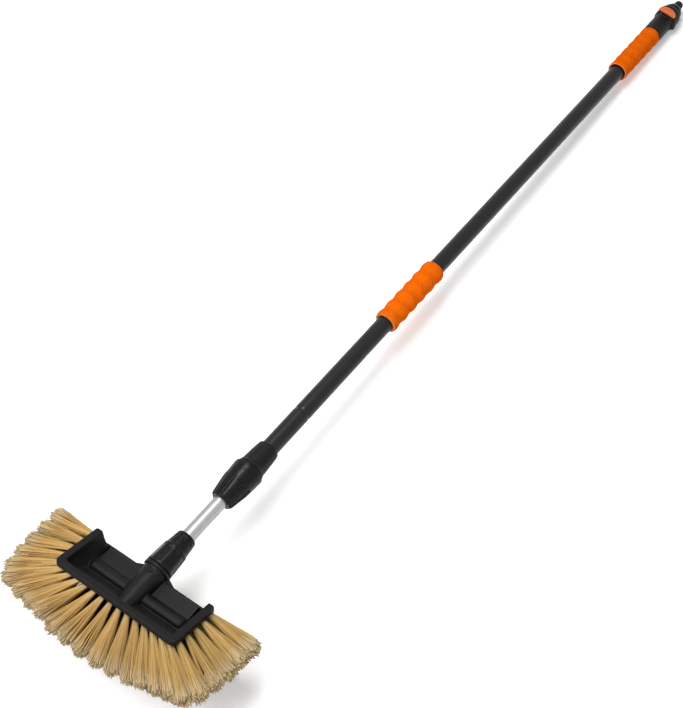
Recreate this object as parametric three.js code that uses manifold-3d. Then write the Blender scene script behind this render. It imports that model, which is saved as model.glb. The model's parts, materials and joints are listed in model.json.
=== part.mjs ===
// A flow-through car wash brush on a telescopic handle with a shut-off valve at its hose end.
// Millimetres, +Z up, +Y from the brush head along the handle. It lies on its lower bristles
// and on the valve housing. The origin is on the floor, under the middle of the whole brush.
import * as THREE from "three";
import { mergeVertices } from "three/addons/utils/BufferGeometryUtils.js";
import Module from "manifold-3d";

const wasm = await Module();
wasm.setup();

const degree = Math.PI / 180;
const halfTurn = Math.PI;
const quarterTurn = Math.PI / 2;

// Sizes that every piece shares.
const clearance = 0.3;
const weldDistance = 0.0001;
const overrun = 5;

// Places along the handle count from the rear face of the neck's flange, and names that end in
// At hold such places. The head has a frame of its own: x along the head, y to the rear, z out
// of the rim, from the middle of the rim's front top edge. Names that end in Depth or Drop are
// measured down from the rim.
const tray = {
  length: 218.4,
  depth: 82.3,
  cornerRadius: 6,
  wingCorner: 2.5,
  rimWidth: 7,
  skirtHeight: 10,
  edgeBreak: 1.2,
  wingLean: 1,
  wall: 3,
  bellyInset: 9.2,
  bellyDepth: 31,
  floorDepth: 28,
  wallSlope: 0.65,
};
const panel = { halfLength: 83, width: 30.3, rearDrop: 19 };
const ridge = { lead: 5, radius: 10, crestDrop: 20, halfLength: 88 };
const trough = { stepCount: 3, firstAt: 26.5, pitch: 4, rise: 1.3 };
const channel = { radius: 7, screwGap: 9.6, outletRadius: 2.2 };
const neck = {
  tilt: 15.74,
  standOff: 5.9,
  drop: 12.2,
  noseInset: 13.1,
  noseRadius: 11,
  noseLength: 8,
  frontRadius: 15.5,
  rearRadius: 18.5,
  flangeRadius: 21.5,
  flangeThickness: 5,
  flangeChamfer: 1,
  spigotRadius: 16.5,
  spigotLength: 30,
  boreDepth: 22,
  passageRadius: 5,
  webHalfWidth: 35,
  webThickness: 5,
  webFrontAt: -16,
};
const block = {
  topInset: 2,
  bottomDepth: 51,
  slope: 0.647,
  sliceWidth: 3.6,
  bottomSlice: 3.3,
  rearStep: 0.5,
  cornerRadius: 7,
};
const gasket = { thickness: 1.5, width: 3, margin: 2 };
const screw = {
  shaftRadius: 1.9,
  headRadius: 3.8,
  headThickness: 2.5,
  headDepth: 44,
  ridgeTipDepth: 24.3,
  panelTipDepth: 26.3,
};

// Tufts: each tier has its share of the block's depth, its count along the front and along an
// end, how far it leans out and how much later it starts at the ends. A tuft is a few strands
// that spread from root to tip.
const tuft = {
  length: 87,
  cornerExtra: 6,
  bottomLength: 78,
  strands: 3,
  rootOffset: 1.9,
  rootRadius: 1.6,
  tipOffset: 5.6,
  tipRadius: 4.7,
  sink: 1.5,
  turnStep: 41,
  cornerMargin: 9,
  endFirstAt: 20,
  rearMargin: 5.8,
};
const tierShares = [
  { depth: 0.286, frontCount: 14, endCount: 5, lean: 1, lag: 0 },
  { depth: 0.49, frontCount: 13, endCount: 4, lean: 0.72, lag: 0.12 },
  { depth: 0.725, frontCount: 12, endCount: 4, lean: 0.45, lag: 0.25 },
];
// How the tufts lean, as shares of their fall. Front shares fade towards the rear and side
// shares grow towards the ends. The last two make neighbouring strands differ in length.
const leanShares = {
  side: 1.8,
  frontFade: 1.2,
  fall: 1.06,
  fallAtEnds: 0.2,
  fallAtCorners: 0.45,
  bottomSide: 0.68,
  bottomFront: 0.25,
  bottomFade: 1.5,
  ragged: 0.03,
  raggedTuft: 2.4,
  raggedStrand: 1.7,
};
const bottomTufts = { pitch: 16.9, rowPitch: 13.3, frontMargin: 6.5, margin: 4.5 };

// The tubes and the pieces on them.
const innerTube = { radius: 11, wall: 1.2, startAt: -19, endGap: 94 };
const outerTube = {
  radius: 14,
  wall: 1.2,
  startAt: 215,
  grooveAt: 324,
  grooveWidth: 4,
  grooveDepth: 0.6,
};
const collarNut = {
  startAt: 0.8,
  endAt: 62,
  wideRadius: 21.6,
  bandRadius: 19.4,
  stepAt: 36.5,
  stepHeight: 1.1,
  narrowRadius: 15.6,
  lipRadius: 14.4,
  edgeBreak: 1.4,
  flatCount: 8,
  flatDepth: 0.8,
  flatLength: 27,
  slotWidth: 2.6,
  slotLength: 8,
  slotDepth: 1.1,
  slotAt: 52,
  mouthLength: 3.5,
};
const tubeCollet = { endAt: 57, noseThickness: 1.6, slit: 2.4 };
const lockNut = {
  startAt: 134,
  endAt: 198.5,
  mouthLength: 4,
  throatAt: 163.5,
  boreRadius: 17.6,
  noseWall: 2.2,
  coneShares: [
    [0, 0.62],
    [0.025, 0.7],
    [0.068, 0.754],
    [0.209, 0.815],
    [0.352, 0.87],
    [0.493, 0.93],
    [0.62, 0.948],
    [0.775, 0.976],
    [0.885, 0.985],
    [0.9, 1],
    [0.985, 1],
    [1, 0.97],
  ],
  radius: 24.8,
  fluteCount: 8,
  fluteWidth: 6.4,
  fluteLength: 35,
  fluteDepth: 2.2,
  fluteAt: 155,
  ribWidth: 2.4,
  ribHeight: 1.3,
};
const lockCollet = { startAt: 140.8, slit: 2.4 };
const lockSleeve = {
  flangeAt: 201,
  endAt: 245,
  spigotLength: 36.5,
  ringRadius: 20.4,
  ringLength: 1.9,
  radius: 22,
  coneShares: [
    [0, 1],
    [0.05, 0.995],
    [0.12, 0.93],
    [0.27, 0.905],
    [0.48, 0.88],
    [0.7, 0.847],
    [0.91, 0.807],
    [0.985, 0.775],
    [1, 0.735],
  ],
  ribDepth: 0.45,
  ribStartAt: 205,
  ribEndAt: 241,
};
const piston = {
  plugLength: 15,
  boreRadius: 5,
  landLength: 5,
  grooveCount: 2,
  endLand: 4.4,
};
const ring = { width: 2, thickness: 1.3 };
const neckSeal = { width: 2.2, thickness: 3 };
const middleGrip = {
  startAt: 541,
  length: 140,
  crestLead: 7,
  pitch: 24.7,
  peakRadius: 19.9,
  valleyRadius: 18.1,
  mouthRadius: 14.3,
  mouthLength: 6,
};
const endGrip = {
  length: 133,
  crestLead: 6,
  pitch: 24,
  peakRadius: 19.3,
  valleyRadius: 18.3,
  mouthRadius: 16.6,
  mouthLength: 9,
};
const grip = { endRound: 3, samples: 3 };
const valve = {
  turn: 15,
  barrelAt: 1426.7,
  spigotLength: 24.7,
  spigotBore: 8.5,
  spigotGroove: 12.7,
  barrelRadius: 18.9,
  edgeBreak: 1.2,
  barrelLength: 50.3,
  bulgeRadius: 22.5,
  bulgeRound: 4,
  bulgeLength: 25,
  bulgeFall: 7,
  shoulderRadius: 17.4,
  shoulderLength: 8,
  noseRadius: 12.5,
  noseLength: 10,
  plugLead: 5,
  plugRadius: 9,
  plugDepth: 11,
  passageRadius: 4.3,
  seatRadius: 6.5,
  seatLength: 14,
  padHeight: 20.6,
  padRadius: 13,
  socketDepth: 13,
  lobeLead: 4,
  lobeRadius: 8.5,
  lobeReach: 23.5,
  lobeDrop: 3,
};
const spigotAt = valve.barrelAt - valve.spigotLength;
const spigotGrooveAt = valve.barrelAt - valve.spigotGroove;
const bulgeStartAt = valve.barrelAt + valve.barrelLength;
const bulgeEndAt = bulgeStartAt + valve.bulgeLength;
const shoulderStartAt = bulgeEndAt + valve.bulgeFall;
const shoulderEndAt = shoulderStartAt + valve.shoulderLength;
const noseEndAt = shoulderEndAt + valve.noseLength;
const plugAt = bulgeStartAt + valve.plugLead;
const lobeAt = bulgeStartAt + valve.lobeLead;
const plugSeal = { at: 15 };
const knob = {
  stemRadius: 6.5,
  width: 35,
  length: 15,
  chordAt: 10,
  thickness: 6.5,
  bevel: 1.5,
};
const nipple = {
  rootRadius: 7,
  boreRadius: 4.6,
  flangeRadius: 11.5,
  flangeThickness: 2.6,
  neckRadius: 6.7,
  neckLength: 4.5,
  headRadius: 8.3,
  headLength: 10.6,
  edgeBreak: 1.1,
  grooveShare: 0.5,
};
const rest = { neckHeight: 104 };

// Facets round a turned piece.
const tubeSides = 24;
const nutSides = 28;
const gripSides = 18;
const smallSides = 16;
const holeSides = 8;
const cornerSteps = 3;
const arcSteps = 4;
const slotSteps = 2;

const turnToZ = new THREE.Matrix4().makeRotationX(quarterTurn);
const turnToX = new THREE.Matrix4().makeRotationZ(-quarterTurn);
const moved = (x, y, z) => new THREE.Matrix4().makeTranslation(x, y, z);
// The neck's flange stands behind the tray. The panel ends at the tray's rear edge, and the
// ridge runs along the panel's front edge.
const neckAt = tray.depth + neck.standOff;
const panelFrontAt = tray.depth - panel.width;
const ridgeAt = panelFrontAt - ridge.lead;
const alongNeck = (headY) => (headY - neckAt) / Math.cos(neck.tilt * degree);
const headToHandle = new THREE.Matrix4()
  .makeRotationX(-neck.tilt * degree)
  .multiply(moved(0, -neckAt, neck.drop));
const handleToHead = headToHandle.clone().invert();
const reach = Math.hypot(bulgeEndAt, valve.bulgeRadius);
const restSlope =
  Math.asin(rest.neckHeight / reach) - Math.atan2(valve.bulgeRadius, bulgeEndAt);
const handleToFloor = moved(0, 0, rest.neckHeight).multiply(
  new THREE.Matrix4().makeRotationX(-restSlope),
);
const halfHead = tray.length / 2;

// A closed geometry as a solid that can be joined and cut, with its matching points merged.
function solidOf(geometry, matrix = new THREE.Matrix4()) {
  const loose = geometry.index ? geometry.toNonIndexed() : geometry;
  const bare = new THREE.BufferGeometry();
  bare.setAttribute("position", loose.getAttribute("position").clone());
  bare.applyMatrix4(matrix);
  const merged = mergeVertices(bare, weldDistance);
  const index = merged.index.array;
  const kept = [];
  for (let i = 0; i < index.length; i += 3) {
    const [a, b, c] = index.slice(i, i + 3);
    if (a !== b && b !== c && c !== a) kept.push(a, b, c);
  }
  return new wasm.Manifold(
    new wasm.Mesh({
      numProp: 3,
      vertProperties: merged.getAttribute("position").array,
      triVerts: new Uint32Array(kept),
    }),
  );
}

function geometryOf(solid) {
  const mesh = solid.getMesh();
  const points = [];
  for (const vertex of mesh.triVerts) {
    const start = vertex * mesh.numProp;
    points.push(...mesh.vertProperties.slice(start, start + 3));
  }
  const geometry = new THREE.BufferGeometry();
  geometry.setAttribute("position", new THREE.Float32BufferAttribute(points, 3));
  geometry.computeVertexNormals();
  return geometry;
}

const joined = (...solids) => wasm.Manifold.union(solids);

function facesGeometry(points, faces) {
  const positions = faces.flat().flatMap((i) => points[i].toArray());
  const geometry = new THREE.BufferGeometry();
  geometry.setAttribute("position", new THREE.Float32BufferAttribute(positions, 3));
  return geometry;
}

// A piece turned about the handle's axis from [radius, place] points that close on themselves.
function turnedGeometry(profile, sides) {
  const points = profile.map(([radius, at]) => new THREE.Vector2(radius, at));
  if (THREE.ShapeUtils.area(points) < 0) points.reverse();
  points.push(points[0].clone());
  return new THREE.LatheGeometry(points, sides);
}

const turned = (profile, sides, matrix) => solidOf(turnedGeometry(profile, sides), matrix);

function rod(radius, from, to, sides, matrix) {
  return turned([[0, from], [radius, from], [radius, to], [0, to]], sides, matrix);
}

function pipe(outer, inner, from, to, sides, matrix) {
  return turned([[inner, from], [outer, from], [outer, to], [inner, to]], sides, matrix);
}

// An upright round rod of the head, between two heights.
function upright(radius, x, y, from, to) {
  return rod(radius, from, to, holeSides, moved(x, y, 0).multiply(turnToZ));
}

function box(from, to, matrix = new THREE.Matrix4()) {
  const size = to.map((value, i) => value - from[i]);
  const middle = to.map((value, i) => (value + from[i]) / 2);
  return solidOf(new THREE.BoxGeometry(...size), matrix.clone().multiply(moved(...middle)));
}

// A solid through outlines of equal point counts, the lowest first.
function loft(rings) {
  const count = rings[0].length;
  const points = rings.flat();
  const last = (rings.length - 1) * count;
  const faces = [];
  for (let level = 0; level < last; level += count) {
    for (let i = 0; i < count; i += 1) {
      const next = (i + 1) % count;
      faces.push([level + i, level + next, level + count + next]);
      faces.push([level + i, level + count + next, level + count + i]);
    }
  }
  for (let i = 1; i < count - 1; i += 1) {
    faces.push([0, i + 1, i]);
    faces.push([last, last + i, last + i + 1]);
  }
  return solidOf(facesGeometry(points, faces));
}

// The head's rounded rectangle at one height, drawn in from the tray's outline. Its rear corners
// can have a radius of their own.
function outline(inset, rearInset, radius, z, rearRadius = radius) {
  const left = -halfHead + inset;
  const right = halfHead - inset;
  const front = inset;
  const rear = tray.depth - rearInset;
  const corners = [
    [left + radius, front + radius, halfTurn, radius],
    [right - radius, front + radius, halfTurn + quarterTurn, radius],
    [right - rearRadius, rear - rearRadius, 0, rearRadius],
    [left + rearRadius, rear - rearRadius, quarterTurn, rearRadius],
  ];
  const points = [];
  for (const [x, y, start, r] of corners) {
    for (let step = 0; step <= cornerSteps; step += 1) {
      const angle = start + (quarterTurn * step) / cornerSteps;
      points.push(new THREE.Vector3(x + r * Math.cos(angle), y + r * Math.sin(angle), z));
    }
  }
  return points;
}

// A plan polygon of [x, y] points raised between two heights.
function raised(corners, from, to, matrix) {
  const shape = new THREE.Shape(corners.map(([x, y]) => new THREE.Vector2(x, y)));
  const geometry = new THREE.ExtrudeGeometry(shape, { depth: to - from, bevelEnabled: false });
  return solidOf(geometry, (matrix || new THREE.Matrix4()).clone().multiply(moved(0, 0, from)));
}

// A slot with round ends, its length along y, raised between two heights.
function slotSolid(width, length, from, to, matrix) {
  const radius = width / 2;
  const straight = length / 2 - radius;
  const corners = [];
  for (let step = 0; step <= slotSteps; step += 1) {
    const angle = (halfTurn * step) / slotSteps;
    corners.push([radius * Math.cos(angle), straight + radius * Math.sin(angle)]);
  }
  const lower = corners.map(([x, y]) => [-x, -y]);
  return raised([...corners, ...lower], from, to, matrix);
}

// The matrix that puts an upright cutter on a cone round the handle: z points outwards there,
// and the slope is how much the cone's radius falls along the handle.
function onCone(index, count, at, radius, slope) {
  return new THREE.Matrix4()
    .makeRotationY((index * 2 * halfTurn) / count)
    .multiply(moved(0, at, radius))
    .multiply(new THREE.Matrix4().makeRotationX(-Math.atan(slope)));
}

const bellyInsetAt = (depth) => tray.bellyInset + tray.wallSlope * (depth - tray.skirtHeight);
const wingRearAt = (depth) => Math.max(0, tray.wingLean * (1 - depth / panel.rearDrop));
const blockInsetAt = (depth) => block.topInset + block.slope * (depth - tray.skirtHeight);

// The tray's belly, which drops into the bristle block. Growing it gives the block's recess.
function belly(grow, topDepth, rearGrow) {
  const bottomDepth = tray.bellyDepth + (grow > 0 ? clearance : 0);
  const depths = [bottomDepth, panel.rearDrop, topDepth];
  return loft(
    depths.map((depth) => {
      const rear = rearGrow > 0 ? -rearGrow : wingRearAt(depth);
      return outline(bellyInsetAt(depth) - grow, rear, tray.cornerRadius, -depth);
    }),
  );
}

function trayShell() {
  const radius = tray.cornerRadius;
  const rim = [
    [tray.skirtHeight, tray.edgeBreak / 2],
    [tray.skirtHeight - tray.edgeBreak, 0],
    [tray.edgeBreak, 0],
    [0, tray.edgeBreak],
  ];
  const slab = loft(
    rim.map(([depth, inset]) => {
      return outline(inset, inset + wingRearAt(depth), radius, -depth, tray.wingCorner);
    }),
  );
  const pocketInsetAt = (depth) => bellyInsetAt(depth) + tray.wall;
  const pocketRadius = tray.cornerRadius - tray.edgeBreak;
  const upper = [
    [panel.rearDrop, pocketInsetAt(panel.rearDrop)],
    [tray.skirtHeight, pocketInsetAt(tray.skirtHeight)],
    [0, tray.rimWidth],
    [-overrun, tray.rimWidth],
  ];
  const lower = [tray.floorDepth, panel.rearDrop - tray.edgeBreak];
  const openPocket = loft(
    upper.map(([depth, inset]) => outline(inset, -overrun, pocketRadius, -depth)),
  );
  const closedPocket = loft(
    lower.map((depth) => outline(pocketInsetAt(depth), tray.wall, pocketRadius, -depth)),
  );
  return joined(slab, belly(0, tray.skirtHeight - tray.edgeBreak, 0))
    .subtract(openPocket)
    .subtract(closedPocket);
}

// What stands inside the tray: the panel, the water ridge, the trough's steps and the neck.
function trayInside() {
  const panelFrontDrop =
    panel.rearDrop + panel.width * Math.tan(neck.tilt * degree);
  const section = [
    [panelFrontAt, -tray.bellyDepth],
    [tray.depth, -tray.bellyDepth],
    [tray.depth, -panel.rearDrop],
    [panelFrontAt, -panelFrontDrop],
  ];
  const alongX = new THREE.Matrix4().makeBasis(
    new THREE.Vector3(0, 1, 0),
    new THREE.Vector3(0, 0, 1),
    new THREE.Vector3(1, 0, 0),
  );
  const wedge = raised(section, -panel.halfLength, panel.halfLength, alongX);
  const round = capsule(ridge.radius, ridge.halfLength, -ridge.crestDrop - ridge.radius);
  const steps = [];
  for (let i = 0; i < trough.stepCount; i += 1) {
    const rearAt = trough.firstAt + i * trough.pitch;
    const top = -tray.floorDepth + trough.rise * (trough.stepCount - i);
    steps.push(box([-halfHead, 0, -tray.bellyDepth], [halfHead, rearAt, top]));
  }
  const noseAt = alongNeck(neck.noseInset);
  const nose = turned(
    [
      [0, noseAt],
      [neck.noseRadius, noseAt],
      [neck.frontRadius, noseAt + neck.noseLength],
      [neck.rearRadius, -neck.flangeThickness],
      [0, -neck.flangeThickness],
    ],
    tubeSides,
    handleToHead,
  );
  const envelope = loft(
    [tray.bellyDepth, tray.skirtHeight, 0].map((depth) =>
      outline(bellyInsetAt(depth) + tray.edgeBreak / 2, 0, tray.cornerRadius, -depth),
    ),
  );
  return joined(wedge, round, nose, ...steps).intersect(envelope);
}

// A round bar with ball ends along the head.
function capsule(radius, halfLength, z) {
  const straight = halfLength - radius;
  const profile = [];
  for (const side of [-1, 1]) {
    for (let step = 0; step <= arcSteps; step += 1) {
      const angle = (quarterTurn * (side < 0 ? step : arcSteps - step)) / arcSteps;
      profile.push([
        radius * Math.sin(angle),
        side * (straight + radius * Math.cos(angle)),
      ]);
    }
  }
  return turned(profile, smallSides, moved(0, ridgeAt, z).multiply(turnToX));
}

// The neck behind the tray: its round end, flange, web and threaded spigot.
function neckRear() {
  const flangeFront = -neck.flangeThickness;
  const turnedPart = turned(
    [
      [0, flangeFront * 2],
      [neck.rearRadius, flangeFront * 2],
      [neck.rearRadius, flangeFront],
      [neck.flangeRadius - neck.flangeChamfer, flangeFront],
      [neck.flangeRadius, flangeFront + neck.flangeChamfer],
      [neck.flangeRadius, -neck.flangeChamfer],
      [neck.flangeRadius - neck.flangeChamfer, 0],
      [neck.spigotRadius, 0],
      [neck.spigotRadius, neck.spigotLength - neck.flangeChamfer],
      [neck.spigotRadius - neck.flangeChamfer, neck.spigotLength],
      [0, neck.spigotLength],
    ],
    tubeSides,
    handleToHead,
  );
  const panelEdge = new THREE.Vector3(0, tray.depth, -panel.rearDrop).applyMatrix4(headToHandle);
  const corners = [
    [-neck.webHalfWidth, neck.webFrontAt],
    [neck.webHalfWidth, neck.webFrontAt],
    [neck.webHalfWidth, panelEdge.y],
    [neck.flangeRadius - neck.flangeChamfer, -neck.flangeChamfer],
    [-neck.flangeRadius + neck.flangeChamfer, -neck.flangeChamfer],
    [-neck.webHalfWidth, panelEdge.y],
  ];
  const web = raised(corners, panelEdge.z - neck.webThickness, panelEdge.z, handleToHead);
  return joined(turnedPart, web);
}

const tubeBore = innerTube.radius + clearance;
const boreEndAt = -neck.boreDepth;

// The bottom face carries as many columns, in each half, and rows of tufts as fit on it. The
// screws pass between the columns.
const bottomInset = blockInsetAt(block.bottomDepth);
const columnRoom = halfHead - bottomInset - bottomTufts.margin;
const halfColumns = Math.floor(columnRoom / bottomTufts.pitch + 0.5);
const firstRowAt = bottomInset + bottomTufts.frontMargin;
const rowRoom = tray.depth - bottomTufts.frontMargin - firstRowAt;
const rowCount = Math.floor(rowRoom / bottomTufts.rowPitch) + 1;
const bottomRowAt = (row) => firstRowAt + row * bottomTufts.rowPitch;
const outerScrewX = (halfColumns - 1) * bottomTufts.pitch;
const innerScrewX = 2 * bottomTufts.pitch;
const channelHalf = outerScrewX - channel.screwGap;
const outletCount = 2 * Math.floor((channelHalf - channel.radius) / bottomTufts.pitch) + 1;
const screwPlaces = [
  [-outerScrewX, ridgeAt, screw.ridgeTipDepth],
  [outerScrewX, ridgeAt, screw.ridgeTipDepth],
  [-innerScrewX, bottomRowAt(rowCount - 1.5), screw.panelTipDepth],
  [innerScrewX, bottomRowAt(rowCount - 1.5), screw.panelTipDepth],
];

function headHousing() {
  const under = box(
    [-halfHead, -overrun, -tray.bellyDepth - neck.flangeRadius],
    [halfHead, tray.depth + neckAt, -tray.bellyDepth],
  );
  const bore = rod(tubeBore, boreEndAt, neck.spigotLength + overrun, tubeSides, handleToHead);
  const passageAt = alongNeck(ridgeAt) - channel.radius;
  const passage = rod(neck.passageRadius, passageAt, boreEndAt + overrun, holeSides, handleToHead);
  let housing = joined(trayShell(), trayInside(), neckRear()).subtract(under);
  housing = housing.subtract(bore).subtract(passage);
  housing = housing.subtract(capsule(channel.radius, channelHalf, -tray.bellyDepth));
  for (const [x, y, tipDepth] of screwPlaces) {
    const hole = screw.shaftRadius + clearance;
    const top = clearance - tipDepth;
    housing = housing.subtract(upright(hole, x, y, -tray.bellyDepth - overrun, top));
  }
  return housing;
}

// The bristle block's slanted body between two depths.
function blockBody(extraInset, topDepth, bottomDepth, rearInset) {
  const rings = [bottomDepth, topDepth].map((depth) =>
    outline(blockInsetAt(depth) + extraInset, rearInset, block.cornerRadius, -depth),
  );
  return loft(rings);
}

const blockTop = tray.skirtHeight + clearance;
const bottomSliceTop = block.bottomDepth - block.bottomSlice;
const sideGap = clearance * Math.hypot(1, block.slope);
const outletAt = (i) => (i - (outletCount - 1) / 2) * bottomTufts.pitch;

function gasketRing(grow, from, to) {
  const inner = channel.radius + gasket.margin - grow;
  const outer = channel.radius + gasket.margin + gasket.width + grow;
  const straight = channelHalf - channel.radius;
  const lying = moved(0, ridgeAt, 0).multiply(new THREE.Matrix4().makeRotationZ(quarterTurn));
  const full = slotSolid(2 * outer, 2 * (straight + outer), from, to, lying);
  return full.subtract(
    slotSolid(2 * inner, 2 * (straight + inner), from - overrun, to + overrun, lying),
  );
}

function holesThroughBlock(solid) {
  let pierced = solid;
  for (let i = 0; i < outletCount; i += 1) {
    const hole = [-block.bottomDepth - overrun, -tray.bellyDepth + overrun];
    pierced = pierced.subtract(upright(channel.outletRadius, outletAt(i), ridgeAt, ...hole));
  }
  for (const [x, y] of screwPlaces) {
    const shaftHole = screw.shaftRadius + clearance;
    const headHole = screw.headRadius + clearance;
    const low = -block.bottomDepth - overrun;
    pierced = pierced.subtract(upright(shaftHole, x, y, low, -tray.bellyDepth + overrun));
    pierced = pierced.subtract(upright(headHole, x, y, low, -screw.headDepth));
  }
  return pierced;
}

const gasketTop = -tray.bellyDepth - clearance;

function bristleBlock() {
  const lowest = bottomSliceTop - clearance;
  const body = blockBody(block.sliceWidth + sideGap, blockTop, lowest, block.rearStep);
  const recess = belly(sideGap, 0, overrun);
  const groove = gasketRing(clearance, gasketTop - gasket.thickness - clearance, 0);
  return holesThroughBlock(body.subtract(recess).subtract(groove));
}

// One strand: a three-sided bar from a root triangle on the slice to a tip triangle.
function strandFaces(root, tip) {
  const faces = [];
  for (let i = 0; i < 3; i += 1) {
    const next = (i + 1) % 3;
    faces.push([root[i], root[next], tip[next]]);
    faces.push([root[i], tip[next], tip[i]]);
  }
  faces.push([root[0], root[2], root[1]]);
  faces.push([tip[0], tip[1], tip[2]]);
  return faces.flat();
}

function triangleRound(middle, across, up, radius, turn) {
  return [0, 1, 2].map((i) => {
    const angle = turn + (i * 2 * halfTurn) / 3;
    return middle
      .clone()
      .addScaledVector(across, radius * Math.cos(angle))
      .addScaledVector(up, radius * Math.sin(angle));
  });
}

// The strands of a tuft, trimmed level with the face that carries it.
function tuftPoints(root, direction, normal, length, seed) {
  const across = new THREE.Vector3(normal.y, -normal.x, 0);
  if (across.lengthSq() < weldDistance) across.set(1, 0, 0);
  across.normalize();
  const up = normal.clone().cross(across);
  const s = leanShares;
  const points = [];
  for (let strand = 0; strand < tuft.strands; strand += 1) {
    const ragged = 1 + s.ragged * Math.sin(seed * s.raggedTuft + strand * s.raggedStrand);
    const turn = (2 * halfTurn * strand) / tuft.strands + seed * degree * tuft.turnStep;
    const i = Math.cos(turn);
    const j = Math.sin(turn);
    const rootMiddle = root
      .clone()
      .addScaledVector(across, i * tuft.rootOffset)
      .addScaledVector(up, j * tuft.rootOffset)
      .addScaledVector(normal, -tuft.sink);
    const tipMiddle = root
      .clone()
      .addScaledVector(direction, length * ragged)
      .addScaledVector(across, i * tuft.tipOffset)
      .addScaledVector(up, j * tuft.tipOffset);
    points.push(
      ...strandFaces(
        triangleRound(rootMiddle, across, up, tuft.rootRadius, turn),
        triangleRound(tipMiddle, across, up, tuft.tipRadius, turn),
      ),
    );
  }
  return points;
}

// The same strands on the head's other side.
function mirrored(points) {
  const other = [];
  for (let i = 0; i < points.length; i += 3) {
    const face = [points[i], points[i + 2], points[i + 1]];
    other.push(...face.map((p) => new THREE.Vector3(-p.x, p.y, p.z)));
  }
  return other;
}

function strandsSolid(points) {
  const geometry = new THREE.BufferGeometry();
  const numbers = points.flatMap((p) => p.toArray());
  geometry.setAttribute("position", new THREE.Float32BufferAttribute(numbers, 3));
  return solidOf(geometry);
}

// Which way a tuft of the slanted faces points: out and down, more forward at the front.
function tuftDirection(x, y, lean) {
  const u = x / halfHead;
  const v = y / tray.depth;
  const side = Math.abs(u);
  const s = leanShares;
  return new THREE.Vector3(
    s.side * u * lean,
    -(1 - s.frontFade * v) * lean,
    s.fallAtEnds * side + s.fallAtCorners * v * side * lean * lean - s.fall,
  ).normalize();
}

const tuftLength = (x) => tuft.length + tuft.cornerExtra * (x / halfHead) ** 2;
const slantNormal = (x, y) => new THREE.Vector3(x, y, -block.slope).normalize();

function frontTufts() {
  const points = [];
  tierShares.forEach((tier, level) => {
    const depth = tier.depth * block.bottomDepth;
    const inset = blockInsetAt(depth);
    const lastX = halfHead - inset - tuft.cornerMargin;
    for (let i = 0; i < tier.frontCount; i += 1) {
      const x = lastX * ((2 * i) / (tier.frontCount - 1) - 1);
      if (x < -weldDistance) continue;
      const root = new THREE.Vector3(x, inset, -depth);
      const direction = tuftDirection(x, inset, tier.lean);
      const seed = i + level * tier.frontCount;
      const one = tuftPoints(root, direction, slantNormal(0, -1), tuftLength(x), seed);
      points.push(...one);
      if (x > weldDistance) points.push(...mirrored(one));
    }
  });
  return points;
}

function endTufts() {
  const points = [];
  tierShares.forEach((tier, level) => {
    const depth = tier.depth * block.bottomDepth;
    const inset = blockInsetAt(depth);
    const last = tray.depth - tuft.rearMargin;
    const first = tuft.endFirstAt + tier.lag * (last - tuft.endFirstAt);
    for (let i = 0; i < tier.endCount; i += 1) {
      const y = first + ((last - first) * i) / (tier.endCount - 1);
      const root = new THREE.Vector3(halfHead - inset, y, -depth);
      const direction = tuftDirection(halfHead, y, tier.lean);
      const seed = i + level * tier.endCount;
      const length = tuftLength(halfHead);
      points.push(...tuftPoints(root, direction, slantNormal(1, 0), length, seed));
    }
  });
  return points;
}

function bottomTuftPoints() {
  const s = leanShares;
  const points = [];
  const down = new THREE.Vector3(0, 0, -1);
  for (let row = 0; row < rowCount; row += 1) {
    for (let column = 0; column < halfColumns; column += 1) {
      const x = (column + 0.5) * bottomTufts.pitch;
      const y = bottomRowAt(row);
      const root = new THREE.Vector3(x, y, -block.bottomDepth);
      const direction = new THREE.Vector3(
        (s.bottomSide * x) / halfHead,
        -s.bottomFront * (1 - (s.bottomFade * y) / tray.depth),
        -1,
      ).normalize();
      const seed = 2 * row * halfColumns + column;
      const one = tuftPoints(root, direction, down, tuft.bottomLength, seed);
      points.push(...one, ...mirrored(one));
    }
  }
  return points;
}

// A slice of the block's skin inside a plan polygon, with its strands, cut off at the floor.
function slantedSlice(corners, strands) {
  const top = blockTop + clearance;
  const bottom = bottomSliceTop - clearance;
  const outer = blockBody(0, top, bottom, block.rearStep);
  const inner = blockBody(block.sliceWidth, top - overrun, bottom + overrun, -overrun);
  const skin = outer.subtract(inner).intersect(raised(corners, -block.bottomDepth, 0));
  return skin.add(strandsSolid(strands)).subtract(belowFloor());
}

function bottomSlice() {
  const body = blockBody(0, bottomSliceTop, block.bottomDepth, block.rearStep);
  return holesThroughBlock(body).add(strandsSolid(bottomTuftPoints())).subtract(belowFloor());
}

// Everything under the floor on which the brush rests, in the head's frame.
function belowFloor() {
  const floorToHead = handleToFloor.clone().multiply(headToHandle).invert();
  const span = tray.length * 2;
  return box([-span, -span, -span], [span, span, 0], floorToHead);
}

const mitre = clearance / Math.SQRT2;
const mitreDepth = tray.depth - tray.rimWidth;
const frontCorners = [
  [-halfHead + mitre, 0],
  [halfHead - mitre, 0],
  [halfHead - mitre - mitreDepth, mitreDepth],
  [-halfHead + mitre + mitreDepth, mitreDepth],
];
const rightCorners = [
  [halfHead, mitre],
  [halfHead, tray.depth],
  [halfHead - mitreDepth, tray.depth],
  [halfHead - mitreDepth, mitreDepth + mitre],
];
const leftCorners = rightCorners.map(([x, y]) => [-x, y]).reverse();

function blockScrew([x, y, tipDepth]) {
  const headTop = -screw.headDepth - clearance;
  return joined(
    upright(screw.headRadius, x, y, headTop - screw.headThickness, headTop),
    upright(screw.shaftRadius, x, y, headTop - screw.headThickness / 2, -tipDepth),
  );
}

// The pieces of the handle, all turned about its axis.
const sealGroove = ring.width + 2 * clearance;

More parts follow.
